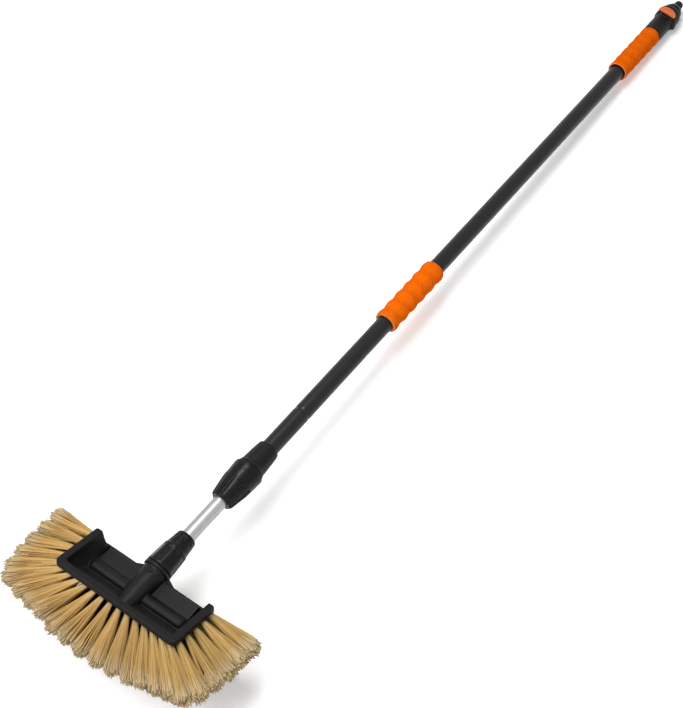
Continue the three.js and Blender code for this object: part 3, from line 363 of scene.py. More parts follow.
# Finishes
def newMaterial(name, look):
    material = bpy.data.materials.new(name)
    material.use_nodes = True
    tree = material.node_tree
    tree.nodes.clear()
    shader = put(tree, "ShaderNodeBsdfPrincipled", {
        "Base Color": (*look["colour"], 1),
        "Roughness": look["roughness"],
        "Metallic": look.get("metallic", 0.0),
        "Specular IOR Level": look["specular"],
    })
    put(tree, "ShaderNodeOutputMaterial", {"Surface": shader.outputs[0]})
    material.diffuse_color = (*look["colour"], 1)
    return material, tree, shader


def noise(tree, scale, detail=3.0, along=1.0):
    # Noise on Object coordinates. With along under 1 it is drawn out into lines on the handle.
    place = put(tree, "ShaderNodeMapping", {
        "Vector": put(tree, "ShaderNodeTexCoord").outputs["Object"],
        "Rotation": (handleTilt if along < 1 else 0, 0, 0),
        "Scale": (1, along, 1),
    }).outputs[0]
    values = {"Vector": place, "Scale": scale, "Detail": detail, "Roughness": 0.55}
    return put(tree, "ShaderNodeTexNoise", values).outputs[0]


def ramp(tree, value, stops):
    # Colours, or greys given as one number, at places from 0 to 1.
    node = put(tree, "ShaderNodeValToRGB", {"Fac": value})
    scale = node.color_ramp
    while len(scale.elements) < len(stops):
        scale.elements.new(0.5)
    for element, (at, colour) in zip(scale.elements, stops):
        element.position = at
        shade = colour if isinstance(colour, tuple) else (colour, colour, colour)
        element.color = (*shade, 1)
    return node.outputs[0]


def mix(tree, factor, first, second, blend="MIX"):
    values = {"Factor": factor, "A": first, "B": second}
    node = put(tree, "ShaderNodeMix", values, data_type="RGBA", blend_type=blend)
    return node.outputs["Result"]


def bump(tree, shader, height, strength, depth, below=None):
    values = {"Strength": strength, "Distance": depth, "Height": height}
    if below:
        values["Normal"] = below
    node = put(tree, "ShaderNodeBump", values)
    tree.links.new(node.outputs[0], shader.inputs["Normal"])
    return node.outputs[0]


def makeFinish(name, look):
    # Noise that tints the colour, varies the gloss and raises a fine relief, each where the
    # look names it. A noise is (scale, detail, along), and a relief (noise, strength, metres).
    material, tree, shader = newMaterial(name, look)
    patterns = {}
    for part in ("tint", "gloss", "grain"):
        if part in look:
            patterns[part] = noise(tree, *look[part])
    for part, stops, socket in (("tint", "tones", "Base Color"), ("gloss", "sheens", "Roughness")):
        if part in look:
            tree.links.new(ramp(tree, patterns[part], look[stops]), shader.inputs[socket])
    below = None
    for part, strength, depth in look["relief"]:
        below = bump(tree, shader, patterns[part], strength, depth, below)
    return material


charcoal = {
    "colour": (0.009, 0.009, 0.0085),
    "roughness": 0.31,
    "specular": 0.22,
    "tint": (1500.0, 4.0, 0.02),         # faint drawing lines along the tube
    "tones": [(0.3, (0.0065, 0.0065, 0.006)), (0.7, (0.011, 0.011, 0.0105))],
    "gloss": (5200.0, 2.0),
    "sheens": [(0.3, 0.28), (0.7, 0.35)],
    "relief": [("tint", 0.12, 0.00004), ("gloss", 0.25, 0.00003)],
}
aluminium = {
    "colour": (0.36, 0.36, 0.355),
    "roughness": 0.42,
    "metallic": 1.0,
    "specular": 0.5,
    "tint": (2200.0, 5.0, 0.012),        # fine drawing lines over a soft satin
    "tones": [(0.25, (0.31, 0.31, 0.305)), (0.75, (0.4, 0.4, 0.395))],
    "gloss": (90.0, 3.0),
    "sheens": [(0.3, 0.38), (0.7, 0.46)],
    "relief": [("tint", 0.18, 0.00003)],
}
knobOrange = {
    "colour": (0.72, 0.16, 0.045),
    "roughness": 0.42,
    "specular": 0.2,
    "tint": (240.0, 4.0),
    "tones": [(0.3, (0.62, 0.12, 0.028)), (0.7, (0.78, 0.2, 0.065))],
    "grain": (2400.0, 2.0),
    "relief": [("grain", 0.3, 0.00006)],
}
rubber = {
    "colour": (0.012, 0.012, 0.012),
    "roughness": 0.6,
    "specular": 0.15,
    "tint": (300.0, 3.0),
    "tones": [(0.3, 0.008), (0.7, 0.017)],
    "grain": (3000.0, 3.0),
    "relief": [("grain", 0.2, 0.00005)],
}
steel = {
    "colour": (0.42, 0.43, 0.45),
    "roughness": 0.3,
    "metallic": 1.0,
    "specular": 0.5,
    "gloss": (700.0, 4.0),
    "sheens": [(0.3, 0.24), (0.7, 0.42)],
    "grain": (3500.0, 3.0),
    "relief": [("grain", 0.15, 0.00004)],
}
plastic = {
    "dark": (0.0014, 0.0015, 0.0017),
    "light": (0.003, 0.0031, 0.0035),
    # edge: the colour of the painted highlight on sharp edges
    "edge": (0.028, 0.029, 0.032),
    "specular": 0.16,
    "cloud": (60.0, 5.0),
    "sheen": (240.0, 4.0),
    "sheenSpread": (-0.06, 0.08),
    # the pointiness range over which the painted edge highlight comes in
    "edgeHighlight": (0.52, 0.6),
    "grain": (2600.0, 2.0),
    "relief": (0.35, 0.00006),
}


def makePlastic(name, roughness, brightness=1.0):
    # Moulded plastic: a spark-eroded grain, clouded gloss and a painted highlight that makes its
    # sharp edges paler.
    p = plastic
    dark, light, edge = (
        tuple(channel * brightness for channel in p[key]) for key in ("dark", "light", "edge")
    )
    look = {"colour": light, "roughness": roughness, "specular": p["specular"]}
    material, tree, shader = newMaterial(name, look)
    body = ramp(tree, noise(tree, *p["cloud"]), [(0.3, dark), (0.7, light)])
    # Pointiness finds the sharp edges, and a painted highlight mixes the edge colour in there.
    sharp = put(tree, "ShaderNodeNewGeometry").outputs["Pointiness"]
    edgeHighlight = ramp(tree, sharp, [(p["edgeHighlight"][0], 0.0), (p["edgeHighlight"][1], 1.0)])
    tree.links.new(mix(tree, edgeHighlight, body, (*edge, 1)), shader.inputs["Base Color"])
    less, more = p["sheenSpread"]
    sheens = [(0.25, roughness + less), (0.75, roughness + more)]
    tree.links.new(ramp(tree, noise(tree, *p["sheen"]), sheens), shader.inputs["Roughness"])
    bump(tree, shader, noise(tree, *p["grain"]), *p["relief"])
    return material


foamLook = {
    "colour": (0.8, 0.134, 0.003),
    "roughness": 0.9,
    "specular": 0.02,
    "dents": (320.0, 4.0),
    "tones": [
        (0.3, (0.67, 0.098, 0.001)),
        (0.55, (0.8, 0.132, 0.003)),
        (0.8, (0.86, 0.158, 0.005)),
    ],
    "cutEnd": (0.82, 0.3, 0.1),          # the paler cells of a cut end
    "cutFacing": [(0.78, 0.0), (0.95, 1.0)],
    "poreScale": 1900.0,
    "pores": [(0.08, 0.0), (0.5, 1.0)],
    "dentRelief": (0.35, 0.0003),
    "poreRelief": (0.5, 0.00014),
}


def makeFoam():
    # Closed-cell foam: a skin of small pores over soft dents.
    f = foamLook
    material, tree, shader = newMaterial("orangeFoam", f)
    soft = noise(tree, *f["dents"])
    facing = put(tree, "ShaderNodeVectorMath", {
        0: put(tree, "ShaderNodeNewGeometry").outputs["Normal"],
        1: tuple(handleWay),
    }, operation="DOT_PRODUCT").outputs["Value"]
    cut = ramp(tree, numbers(tree, "ABSOLUTE", facing), f["cutFacing"])
    tone = mix(tree, cut, ramp(tree, soft, f["tones"]), (*f["cutEnd"], 1))
    tree.links.new(tone, shader.inputs["Base Color"])
    cells = put(tree, "ShaderNodeTexVoronoi", {
        "Vector": put(tree, "ShaderNodeTexCoord").outputs["Object"],
        "Scale": f["poreScale"],
    }).outputs["Distance"]
    first = bump(tree, shader, soft, *f["dentRelief"])
    bump(tree, shader, ramp(tree, cells, f["pores"]), *f["poreRelief"], first)
    return material


fibreLook = {
    "colour": (0.6, 0.38, 0.135),
    "roughness": 0.62,
    "specular": 0.1,
    # Straw along the fibre: the paler root is a painted highlight, and the pale tip is the frayed
    # ends.
    "alongFibre": [
        (0.0, (0.63, 0.455, 0.22)),
        (0.25, (0.555, 0.355, 0.126)),
        (0.75, (0.525, 0.33, 0.113)),
        (1.0, (0.6, 0.465, 0.27)),
    ],
    "byFibre": [(0.0, 0.66), (0.5, 0.95), (1.0, 1.1)],
    # where along the fibre the painted shade at the roots of the lower tiers fades out
    "paintedRootShade": [(0.1, 0.85), (0.55, 0.0)],
}


def makeFibre():
    # Split fibres: straw along their length, paler at the root as a painted highlight, pale at the
    # frayed tip, and darker at the root of the lower tiers as a painted shade.
    f = fibreLook
    material, tree, shader = newMaterial("strawFibre", f)
    along, tone, under = (
        put(tree, "ShaderNodeAttribute", attribute_name=name).outputs["Fac"]
        for name in ("along", "tone", "under")
    )
    # Painted shade: the roots of the lower tiers are darkened by their depth under the first tier.
    rootShade = numbers(tree, "MULTIPLY", under, ramp(tree, along, f["paintedRootShade"]))
    clear = numbers(tree, "SUBTRACT", 1.0, rootShade)
    shade = numbers(tree, "MULTIPLY", ramp(tree, tone, f["byFibre"]), clear)
    colour = mix(tree, 1.0, ramp(tree, along, f["alongFibre"]), shade, "MULTIPLY")
    tree.links.new(colour, shader.inputs["Base Color"])
    return material


blackPlastic = makePlastic("blackPlastic", 0.46)
nutPlastic = makePlastic("nutPlastic", 0.28)
blockPlastic = makePlastic("blockPlastic", 0.62, 0.7)
charcoalCoat = makeFinish("charcoalCoat", charcoal)
bareAluminium = makeFinish("bareAluminium", aluminium)
orangeFoam = makeFoam()
orangePlastic = makeFinish("orangePlastic", knobOrange)
strawFibre = makeFibre()
sealRubber = makeFinish("sealRubber", rubber)
screwSteel = makeFinish("screwSteel", steel)
slotFinish = {
    "black_plastic": blackPlastic,
    "block_plastic": blockPlastic,
    "fibre": strawFibre,
    "bare_aluminium": bareAluminium,
    "charcoal_aluminium": charcoalCoat,
    "orange_foam": orangeFoam,
    "orange_plastic": orangePlastic,
    "seal_rubber": sealRubber,
    "screw_steel": screwSteel,
}
for entry in frame["record"]["subparts"]:
    node = frame["nodes"][entry["node"]]
    node.data.materials.clear()
    node.data.materials.append(slotFinish[entry["material_slot"]])
print("finishes ready:", len(slotFinish))


# Head housing
tray = {
    "length": 218.4,
    "depth": 82.3,
    "corner": 6.0,
    "cornerSteps": 10,
    "innerCorner": 4.8,
    "rim": 8.5,
    "endRim": 10.5,
    "skirt": 10.0,
    "wall": 3.0,
    "bellyInset": 9.2,
    "bellyDepth": 31.0,
    "floorDepth": 28.0,
    "slope": 0.65,
    "wingLean": 1.0,
    "wingCorner": 2.5,
    "panelHalf": 83.0,
    "panelFront": 52.0,
    "panelDrop": 19.0,
    "ridgeAt": 47.0,
    "ridgeRadius": 10.0,
    "ridgeDrop": 20.0,
    "ridgeHalf": 88.0,
    "ridgeSteps": 12,
    "ridgeSides": 64,
    "stepAt": 26.5,
    "stepPitch": 4.0,
    "stepRise": 1.3,
    "stepCount": 3,
    "overlap": 1.0,          # how far shapes pass each other before they are joined or cut
    "past": 5.0,             # how far a cutter passes the face that it opens
    "hem": 0.6,              # skin left outside what fills the pocket
    "endSlant": 1.0,
    "pocketsOverlap": 1.2,
    "voxel": 1.0,
}
neck = {
    "nose": [(0.0, -78.0), (11.0, -78.0), (15.5, -70.0), (18.5, -5.0), (0.0, -5.0)],
    "root": 18.5,
    "flange": 21.5,
    "flangeThickness": 5.0,
    "spigot": 16.5,
    "spigotLength": 30.0,
    "bore": 11.3,
    "boreDepth": 22.0,
    "webHalf": 35.0,
    "webThickness": 5.0,
    "webFront": -16.0,
    "sides": 96,
}


def headOutline(inset, rearInset, radius, drop, rearRadius=None, endInset=None):
    # The head's rounded rectangle at one depth under the rim, drawn in from its edge.
    back = radius if rearRadius is None else rearRadius
    end = tray["length"] / 2 - (inset if endInset is None else endInset)
    left, right = -end, end
    front, rear = inset, tray["depth"] - rearInset
    corners = (
        (left + radius, front + radius, math.pi, radius),
        (right - radius, front + radius, 1.5 * math.pi, radius),
        (right - back, rear - back, 0.0, back),
        (left + back, rear - back, 0.5 * math.pi, back),
    )
    steps = tray["cornerSteps"]
    points = []
    for x, y, start, r in corners:
        for step in range(steps + 1):
            angle = start + 0.5 * math.pi * step / steps
            points.append(Vector((x + r * math.cos(angle), y + r * math.sin(angle), -drop)))
    return points


def bellyInset(drop):
    return tray["bellyInset"] + tray["slope"] * (drop - tray["skirt"])


def openInset(drop):
    return bellyInset(drop) + tray["wall"]


def wingRear(drop):
    return max(0.0, tray["wingLean"] * (1 - drop / tray["panelDrop"]))


def headSection(name, corners, half):
    # An outline of (y, z) points drawn along the head.
    return prism(name, corners, -half, half, lambda y, z, x: (x, y, z))


def ridgeBar(radius, half):
    # The water ridge: a bar with round ends, laid along the head.
    steps = tray["ridgeSteps"]
    quarter = [0.5 * math.pi * step / steps for step in range(1, steps + 1)]
    back = [0.5 * math.pi - angle for angle in quarter[:-1]]
    turns = [(-1, angle) for angle in quarter] + [(1, angle) for angle in back]
    profile = [(0.0, -half)]
    for side, angle in turns:
        reach = half - radius + radius * math.cos(angle)
        profile.append((radius * math.sin(angle), side * reach))
    profile.append((0.0, half))
    lay = Matrix.Translation((0, tray["ridgeAt"], -tray["ridgeDrop"] - radius))
    lay = lay @ Matrix.Rotation(-0.5 * math.pi, 4, "Z")
    return lathe("ridge", profile, tray["ridgeSides"], space=lay)


def makeHeadHousing():
    t = tray
    n = neck
    slab = loft("headHousing", [
        headOutline(0, wingRear(drop), t["corner"], drop, t["wingCorner"])
        for drop in (t["skirt"], 0)
    ])
    belly = loft("belly", [
        headOutline(bellyInset(drop), wingRear(drop), t["corner"], drop)
        for drop in (t["bellyDepth"], t["panelDrop"], t["skirt"] - t["overlap"])
    ])
    united(slab, belly)
    openPocket = loft("openPocket", [
        headOutline(inset, -t["past"], t["innerCorner"], drop, endInset=ends)
        for inset, ends, drop in (
            (openInset(t["panelDrop"]), openInset(t["panelDrop"]), t["panelDrop"]),
            (openInset(t["skirt"]), openInset(t["skirt"]) + t["endSlant"], t["skirt"]),
            (t["rim"], t["endRim"], 0),
            (t["rim"], t["endRim"], -t["past"]),
        )
    ])
    closedPocket = loft("closedPocket", [
        headOutline(openInset(drop), t["wall"], t["innerCorner"], drop)
        for drop in (t["floorDepth"], t["panelDrop"] - t["pocketsOverlap"])
    ])
    combine(slab, openPocket)
    combine(slab, closedPocket)
    fall = (t["depth"] - t["panelFront"]) * math.tan(neckTilt)
    inside = headSection("inside", [
        (t["panelFront"], -t["bellyDepth"]),
        (t["depth"], -t["bellyDepth"]),
        (t["depth"], -t["panelDrop"]),
        (t["panelFront"], -t["panelDrop"] - fall),
    ], t["panelHalf"])
    united(inside, ridgeBar(t["ridgeRadius"], t["ridgeHalf"]))
    for i in range(t["stepCount"]):
        top = t["stepRise"] * (t["stepCount"] - i) - t["floorDepth"]
        rear = t["stepAt"] + i * t["stepPitch"]
        low = (-t["length"] / 2, 0, -t["bellyDepth"])
        united(inside, box("step", low, (t["length"] / 2, rear, top)))
    united(inside, lathe("nose", n["nose"], n["sides"], space=handleOnHead))
    envelope = loft("envelope", [
        headOutline(bellyInset(drop) + t["hem"], 0, t["corner"], drop)
        for drop in (t["bellyDepth"], t["skirt"], 0)
    ])
    combine(inside, envelope, "INTERSECT")
    united(slab, inside)
    flange = lathe("flange", [
        (0.0, -2 * n["flangeThickness"]),
        (n["root"], -2 * n["flangeThickness"]),
        (n["root"], -n["flangeThickness"]),
        (n["flange"], -n["flangeThickness"]),
        (n["flange"], 0.0),
        (n["spigot"], 0.0),
        (n["spigot"], n["spigotLength"]),
        (0.0, n["spigotLength"]),
    ], n["sides"], space=handleOnHead)
    panelEdge = headOnHandle @ Vector((0, t["depth"], -t["panelDrop"]))
    edge = n["flange"] - t["overlap"]
    corners = [
        (-n["webHalf"], n["webFront"]),
        (n["webHalf"], n["webFront"]),
        (n["webHalf"], panelEdge.y),
        (edge, -t["overlap"]),
        (-edge, -t["overlap"]),
        (-n["webHalf"], panelEdge.y),
    ]
    web = prism("web", corners, panelEdge.z - n["webThickness"], panelEdge.z,
                lambda a, b, level: handleOnHead @ Vector((a, b, level)))
    united(slab, web, flange)
    low = (-t["length"], -t["past"], -3 * t["bellyDepth"])
    under = box("under", low, (t["length"], 2 * t["depth"], -t["bellyDepth"]))
    combine(slab, under)
    combine(slab, rod("bore", n["bore"], -n["boreDepth"], 2 * n["spigotLength"], handleOnHead))
    soften(slab, t["voxel"], 3)
    return settle(slab, headSpace, "head", blackPlastic, "black_plastic", "head_housing")


housing = makeHeadHousing()
print("head housing made:", len(housing.data.polygons), "faces")


# Bristle block
block = {
    "topInset": 2.0,
    "top": 10.3,
    "bottom": 51.0,
    "slope": 0.647,
    "corner": 7.0,
    "gap": 0.4,
    "rearInset": 0.5,
    "recessDepth": 31.3,
    "holeRadius": 2.2,
    "outlets": 7,
    "outletTop": -20.0,
    "headHole": 4.1,
    "headDrop": 44.0,
    "screws": ((-4, None), (4, None), (-2, 2.5), (2, 2.5)),      # pitches across, row or the ridge
    "past": 60.0,
    "voxel": 1.3,
}
tuftGrid = {"columns": 10, "pitch": 16.9, "rows": 4, "first": 35.0, "rowPitch": 13.3}


def blockInset(drop):
    return block["topInset"] + block["slope"] * (drop - tray["skirt"])


def bottomRow(row):
    return tuftGrid["first"] + row * tuftGrid["rowPitch"]


def uprightHole(radius, x, y, low, high):
    stand = Matrix.Translation((x, y, 0)) @ Matrix.Rotation(0.5 * math.pi, 4, "X")
    return rod("hole", radius, low, high, stand, 24)


def makeBristleBlock():
    b = block
    body = loft("brushBlock", [
        headOutline(blockInset(drop), b["rearInset"], b["corner"], drop)
        for drop in (b["bottom"], b["top"])
    ])
    recess = loft("recess", [
        headOutline(bellyInset(drop) - b["gap"], -tray["past"], tray["corner"], drop)
        for drop in (b["recessDepth"], tray["panelDrop"], 0)
    ])
    combine(body, recess)
    for i in range(b["outlets"]):
        x = (i - (b["outlets"] - 1) / 2) * tuftGrid["pitch"]
        hole = uprightHole(b["holeRadius"], x, tray["ridgeAt"], -b["past"], b["outletTop"])
        combine(body, hole)
    for pitches, row in b["screws"]:
        x = pitches * tuftGrid["pitch"]
        y = tray["ridgeAt"] if row is None else bottomRow(row)
        combine(body, uprightHole(b["headHole"], x, y, -b["past"], -b["headDrop"]))
    soften(body, b["voxel"], 2)
    return settle(body, headSpace, "head", blockPlastic, "block_plastic", "bristle_block")


brushBlock = makeBristleBlock()
print("bristle block made:", len(brushBlock.data.polygons), "faces")


# Bristles
tuft = {
    "length": 87.0,
    "cornerExtra": 6.0,
    "reachMiddle": 0.955,
    "reachTurn": -0.075,
    "bottomLength": 78.0,
    "cornerMargin": 6.0,
    "endFirst": 15.0,
    "endLast": 76.5,
    "rootDepth": 3.0,
    "jitter": 0.022,
    "lengthJitter": 0.02,
    "seed": 11,
    "floorGap": 0.0006,      # metres
    "squash": 0.004,         # how soon the tips that reach the floor flatten on it, metres
    "shadeDepth": 12.0,
    "plumb": 0.97,           # a tuft that hangs more steeply than this takes x as its across
}
fan = {
    "outwards": 1.8,
    "forwards": 1.2,
    "endLift": 0.2,
    "rearLift": 0.45,
    "down": 1.06,
    "bottomOut": 1.36,
    "bottomForward": 0.25,
    "bottomTurn": 1.5,
}
tiers = (
    {"drop": 14.6, "front": 14, "end": 5, "lean": 1.0, "lag": 0.0},
    {"drop": 25.0, "front": 13, "end": 4, "lean": 0.72, "lag": 0.12},
    {"drop": 37.0, "front": 12, "end": 4, "lean": 0.45, "lag": 0.25},
)
fibres = {
    "Fibres": 126,
    "Root spread": 2.4,
    "Tip spread": 13.0,
    "Thickness": 0.26,
    "Ragged": 0.035,
    "Dome": 0.1,
    "Curl": 1.4,
    "Droop": 1.2,
    "Core": 0.87,
    "Core end": 0.87,
    "Ends from": 0.7,
    "Ends": 230,
    "Fray": 2.1,
    "Seed": 7,
}
strands = {
    "coreSections": (7, 14),     # points along it, sides
    "coreTone": 0.35,
    "coatSections": (4, 3),
    "coatTaper": (1.0, 0.7),
    "coatUneven": (-2.5, 1.0),   # times Ragged
    "coatFrom": 0.75,            # innermost place, as a share of the tuft's radius
    "endSections": (2, 3),
    "endTaper": (0.75, 0.2),
    "endUneven": (-1.5, 1.2),
    "endScatter": 0.1,
    "endDroop": 0.4,
}


def makeBristleTree():
    # Every point of the input is a tuft with the vectors aim, across and upward on it. Each
    # tuft becomes a widening core, a coat of long fibres and a dense brush of split ends.
    tree = bpy.data.node_groups.new("bristleTufts", "GeometryNodeTree")
    kinds = {name: "Int" if isinstance(value, int) else "Float" for name, value in fibres.items()}
    inputs = addInputs(tree, {**kinds, "Material": "Material"})
    source = put(tree, "NodeGroupInput").outputs

    def add(*values):
        return vectors(tree, "ADD", *values)

    def multiply(*values):
        return numbers(tree, "MULTIPLY", *values)

    def along(start, way, share):
        return add(start, scaled(tree, way, share))

    def vectorNamed(name):
        return put(tree, "GeometryNodeInputNamedAttribute", {"Name": name},
                   data_type="FLOAT_VECTOR").outputs[0]

    def keep(geometry, name, value, kind="FLOAT_VECTOR"):
        values = {"Geometry": geometry, "Name": name, "Value": value}
        kept = put(tree, "GeometryNodeStoreNamedAttribute", values, data_type=kind, domain="POINT")
        return kept.outputs[0]

    def chance(low, high, extra):
        values = {2: low, 3: high, "Seed": numbers(tree, "ADD", source["Seed"], extra)}
        return put(tree, "FunctionNodeRandomValue", values, data_type="FLOAT").outputs[1]

    def anyWay(extra):
        seed = numbers(tree, "ADD", source["Seed"], extra)
        values = {0: (-1, -1, -1), 1: (1, 1, 1), "Seed": seed}
        return put(tree, "FunctionNodeRandomValue", values, data_type="FLOAT_VECTOR").outputs[0]

    def tube(points, sections, start, radiusAt):
        # Points with the vectors base, reach and bend become bent, tapering tubes.
        steps, sides = sections
        line = put(tree, "GeometryNodeCurvePrimitiveLine", {"Start": (0, 0, 0), "End": (0, 0, 1)})
        fine = put(tree, "GeometryNodeResampleCurve", {"Curve": line.outputs[0], "Count": steps})
        copies = put(tree, "GeometryNodeInstanceOnPoints", {
            "Points": points,
            "Instance": fine.outputs[0],
        })
        real = put(tree, "GeometryNodeRealizeInstances", {"Geometry": copies.outputs[0]})
        share = put(tree, "GeometryNodeSplineParameter").outputs["Factor"]
        square = multiply(share, share)
        on = scaled(tree, vectorNamed("reach"), share)
        place = add(vectorNamed("base"), along(on, vectorNamed("bend"), square))
        bent = put(tree, "GeometryNodeSetPosition", {
            "Geometry": real.outputs[0],
            "Position": place,
        })
        length = numbers(tree, "MULTIPLY_ADD", share, numbers(tree, "SUBTRACT", 1.0, start), start)
        marked = keep(bent.outputs[0], "along", length, "FLOAT")
        sized = put(tree, "GeometryNodeSetCurveRadius", {
            "Curve": marked,
            "Radius": radiusAt(share),
        })
        ring = put(tree, "GeometryNodeCurvePrimitiveCircle", {"Resolution": sides, "Radius": 1.0})
        skin = put(tree, "GeometryNodeCurveToMesh", {
            "Curve": sized.outputs[0],
            "Profile Curve": ring.outputs[0],
            "Fill Caps": True,
        })
        return skin.outputs[0]

    def taper(thick, thin):
        def radiusAt(share):
            wide = numbers(tree, "MULTIPLY_ADD", share, thin - thick, thick)
            return multiply(wide, source["Thickness"])
        return radiusAt

    def scattered(points, amount, first):
        # Copies of each tuft's point, spread evenly over a disc of radius 1.
        values = {"Geometry": points, "Amount": amount}
        many = put(tree, "GeometryNodeDuplicateElements", values, domain="POINT")
        angle = chance(0.0, 2 * math.pi, first)
        away = numbers(tree, "POWER", chance(0.0, 1.0, first + 1), 0.5)
        aside = multiply(away, numbers(tree, "COSINE", angle))
        above = multiply(away, numbers(tree, "SINE", angle))
        disc = along(scaled(tree, vectorNamed("across"), aside), vectorNamed("upward"), above)
        return keep(many.outputs[0], "disc", disc)

    roots = put(tree, "GeometryNodeMeshToPoints", {"Mesh": source["Geometry"]}).outputs[0]
    here = put(tree, "GeometryNodeInputPosition").outputs[0]
    aim = vectorNamed("aim")
    disc = vectorNamed("disc")
    widen = numbers(tree, "SUBTRACT", source["Tip spread"], source["Root spread"])
    fall = scaled(tree, (0.0, 0.0, -1.0), source["Droop"])
    far = put(tree, "ShaderNodeVectorMath", {0: disc}, operation="LENGTH").outputs["Value"]
    shorter = multiply(multiply(far, far), source["Dome"])

    inside = keep(roots, "base", here)
    inside = keep(inside, "reach", scaled(tree, aim, source["Core end"]))
    inside = keep(inside, "bend", fall)
    inside = keep(inside, "tone", strands["coreTone"], "FLOAT")

    def coreRadius(share):
        wide = numbers(tree, "MULTIPLY_ADD", share, widen, source["Root spread"])
        return multiply(wide, source["Core"])

    core = tube(inside, strands["coreSections"], 0.0, coreRadius)

    coat = scattered(roots, source["Fibres"], 1)
    rim = numbers(tree, "MULTIPLY_ADD", far, 1 - strands["coatFrom"], strands["coatFrom"])
    coat = keep(coat, "disc", scaled(tree, vectors(tree, "NORMALIZE", disc), rim))
    coat = keep(coat, "base", along(here, disc, source["Root spread"]))
    uneven = multiply(chance(*strands["coatUneven"], 3), source["Ragged"])
    span = numbers(tree, "ADD", numbers(tree, "SUBTRACT", 1.0, shorter), uneven)
    coat = keep(coat, "reach", along(scaled(tree, aim, span), disc, widen))
    coat = keep(coat, "bend", along(fall, anyWay(4), source["Curl"]))
    coat = keep(coat, "tone", chance(0.0, 1.0, 5), "FLOAT")
    whole = tube(coat, strands["coatSections"], 0.0, taper(*strands["coatTaper"]))

    frayed = scattered(roots, source["Ends"], 11)
    at = numbers(tree, "ADD", source["Ends from"], chance(0.0, strands["endScatter"], 13))
    uneven = multiply(chance(*strands["endUneven"], 14), source["Ragged"])
    full = numbers(tree, "ADD", 1.0, uneven)
    left = numbers(tree, "SUBTRACT", full, numbers(tree, "ADD", at, shorter))
    wide = numbers(tree, "MULTIPLY_ADD", at, widen, source["Root spread"])
    foot = along(along(along(here, aim, at), disc, wide), fall, multiply(at, at))
    onward = along(scaled(tree, aim, left), disc, multiply(widen, left))
    frayed = keep(frayed, "base", foot)
    frayed = keep(frayed, "reach", along(onward, anyWay(15), source["Fray"]))
    frayed = keep(frayed, "bend", scaled(tree, fall, strands["endDroop"]))
    frayed = keep(frayed, "tone", chance(0.0, 1.0, 16), "FLOAT")
    ends = tube(frayed, strands["endSections"], source["Ends from"], taper(*strands["endTaper"]))

    both = put(tree, "GeometryNodeJoinGeometry")
    for part in (core, whole, ends):
        tree.links.new(part, both.inputs[0])
    smooth = put(tree, "GeometryNodeSetShadeSmooth", {"Geometry": both.outputs[0]})
    endTree(tree, smooth.outputs[0], source["Material"])
    return tree, inputs


bristleTree, bristleInputs = makeBristleTree()
luck = random.Random(tuft["seed"])


def tuftWay(x, y, lean):
    # Which way a tuft of the slanted faces points: out and down, more forward at the front.
    u = 2 * x / tray["length"]
    v = y / tray["depth"]
    side = abs(u)
    return Vector((
        fan["outwards"] * u * lean,
        -(1 - fan["forwards"] * v) * lean,
        fan["endLift"] * side + fan["rearLift"] * v * side * lean * lean - fan["down"],
    )).normalized()


def tuftLength(x):
    # The tufts stand a little longer on the left end than on the right one.
    u = 2 * x / tray["length"]
    nominal = tuft["length"] + tuft["cornerExtra"] * u * u
    return nominal * (tuft["reachMiddle"] + tuft["reachTurn"] * u)


def frontTufts():
    found = []
    for tier in tiers:
        inset = blockInset(tier["drop"])
        last = tray["length"] / 2 - inset - tuft["cornerMargin"]
        for i in range(tier["front"]):
            x = last * (2 * i / (tier["front"] - 1) - 1)
            root = Vector((x, inset, -tier["drop"]))
            found.append((root, tuftWay(x, inset, tier["lean"]), tuftLength(x)))
    return found


def endTufts(side):
    found = []
    half = tray["length"] / 2
    for tier in tiers:
        inset = blockInset(tier["drop"])
        first = tuft["endFirst"] + tier["lag"] * (tuft["endLast"] - tuft["endFirst"])
        for i in range(tier["end"]):
            y = first + (tuft["endLast"] - first) * i / (tier["end"] - 1)
            way = tuftWay(half, y, tier["lean"])
            way.x *= side
            root = Vector((side * (half - inset), y, -tier["drop"]))
            found.append((root, way, tuftLength(side * half)))
    return found


def bottomTufts():
    found = []
    for row in range(tuftGrid["rows"]):
        for column in range(tuftGrid["columns"]):
            x = (column - (tuftGrid["columns"] - 1) / 2) * tuftGrid["pitch"]
            y = bottomRow(row)
            out = fan["bottomOut"] * x / tray["length"]
            ahead = fan["bottomForward"] * (1 - fan["bottomTurn"] * y / tray["depth"])
            way = Vector((out, -ahead, -1)).normalized()
            found.append((Vector((x, y, -block["bottom"])), way, tuft["bottomLength"]))
    return found


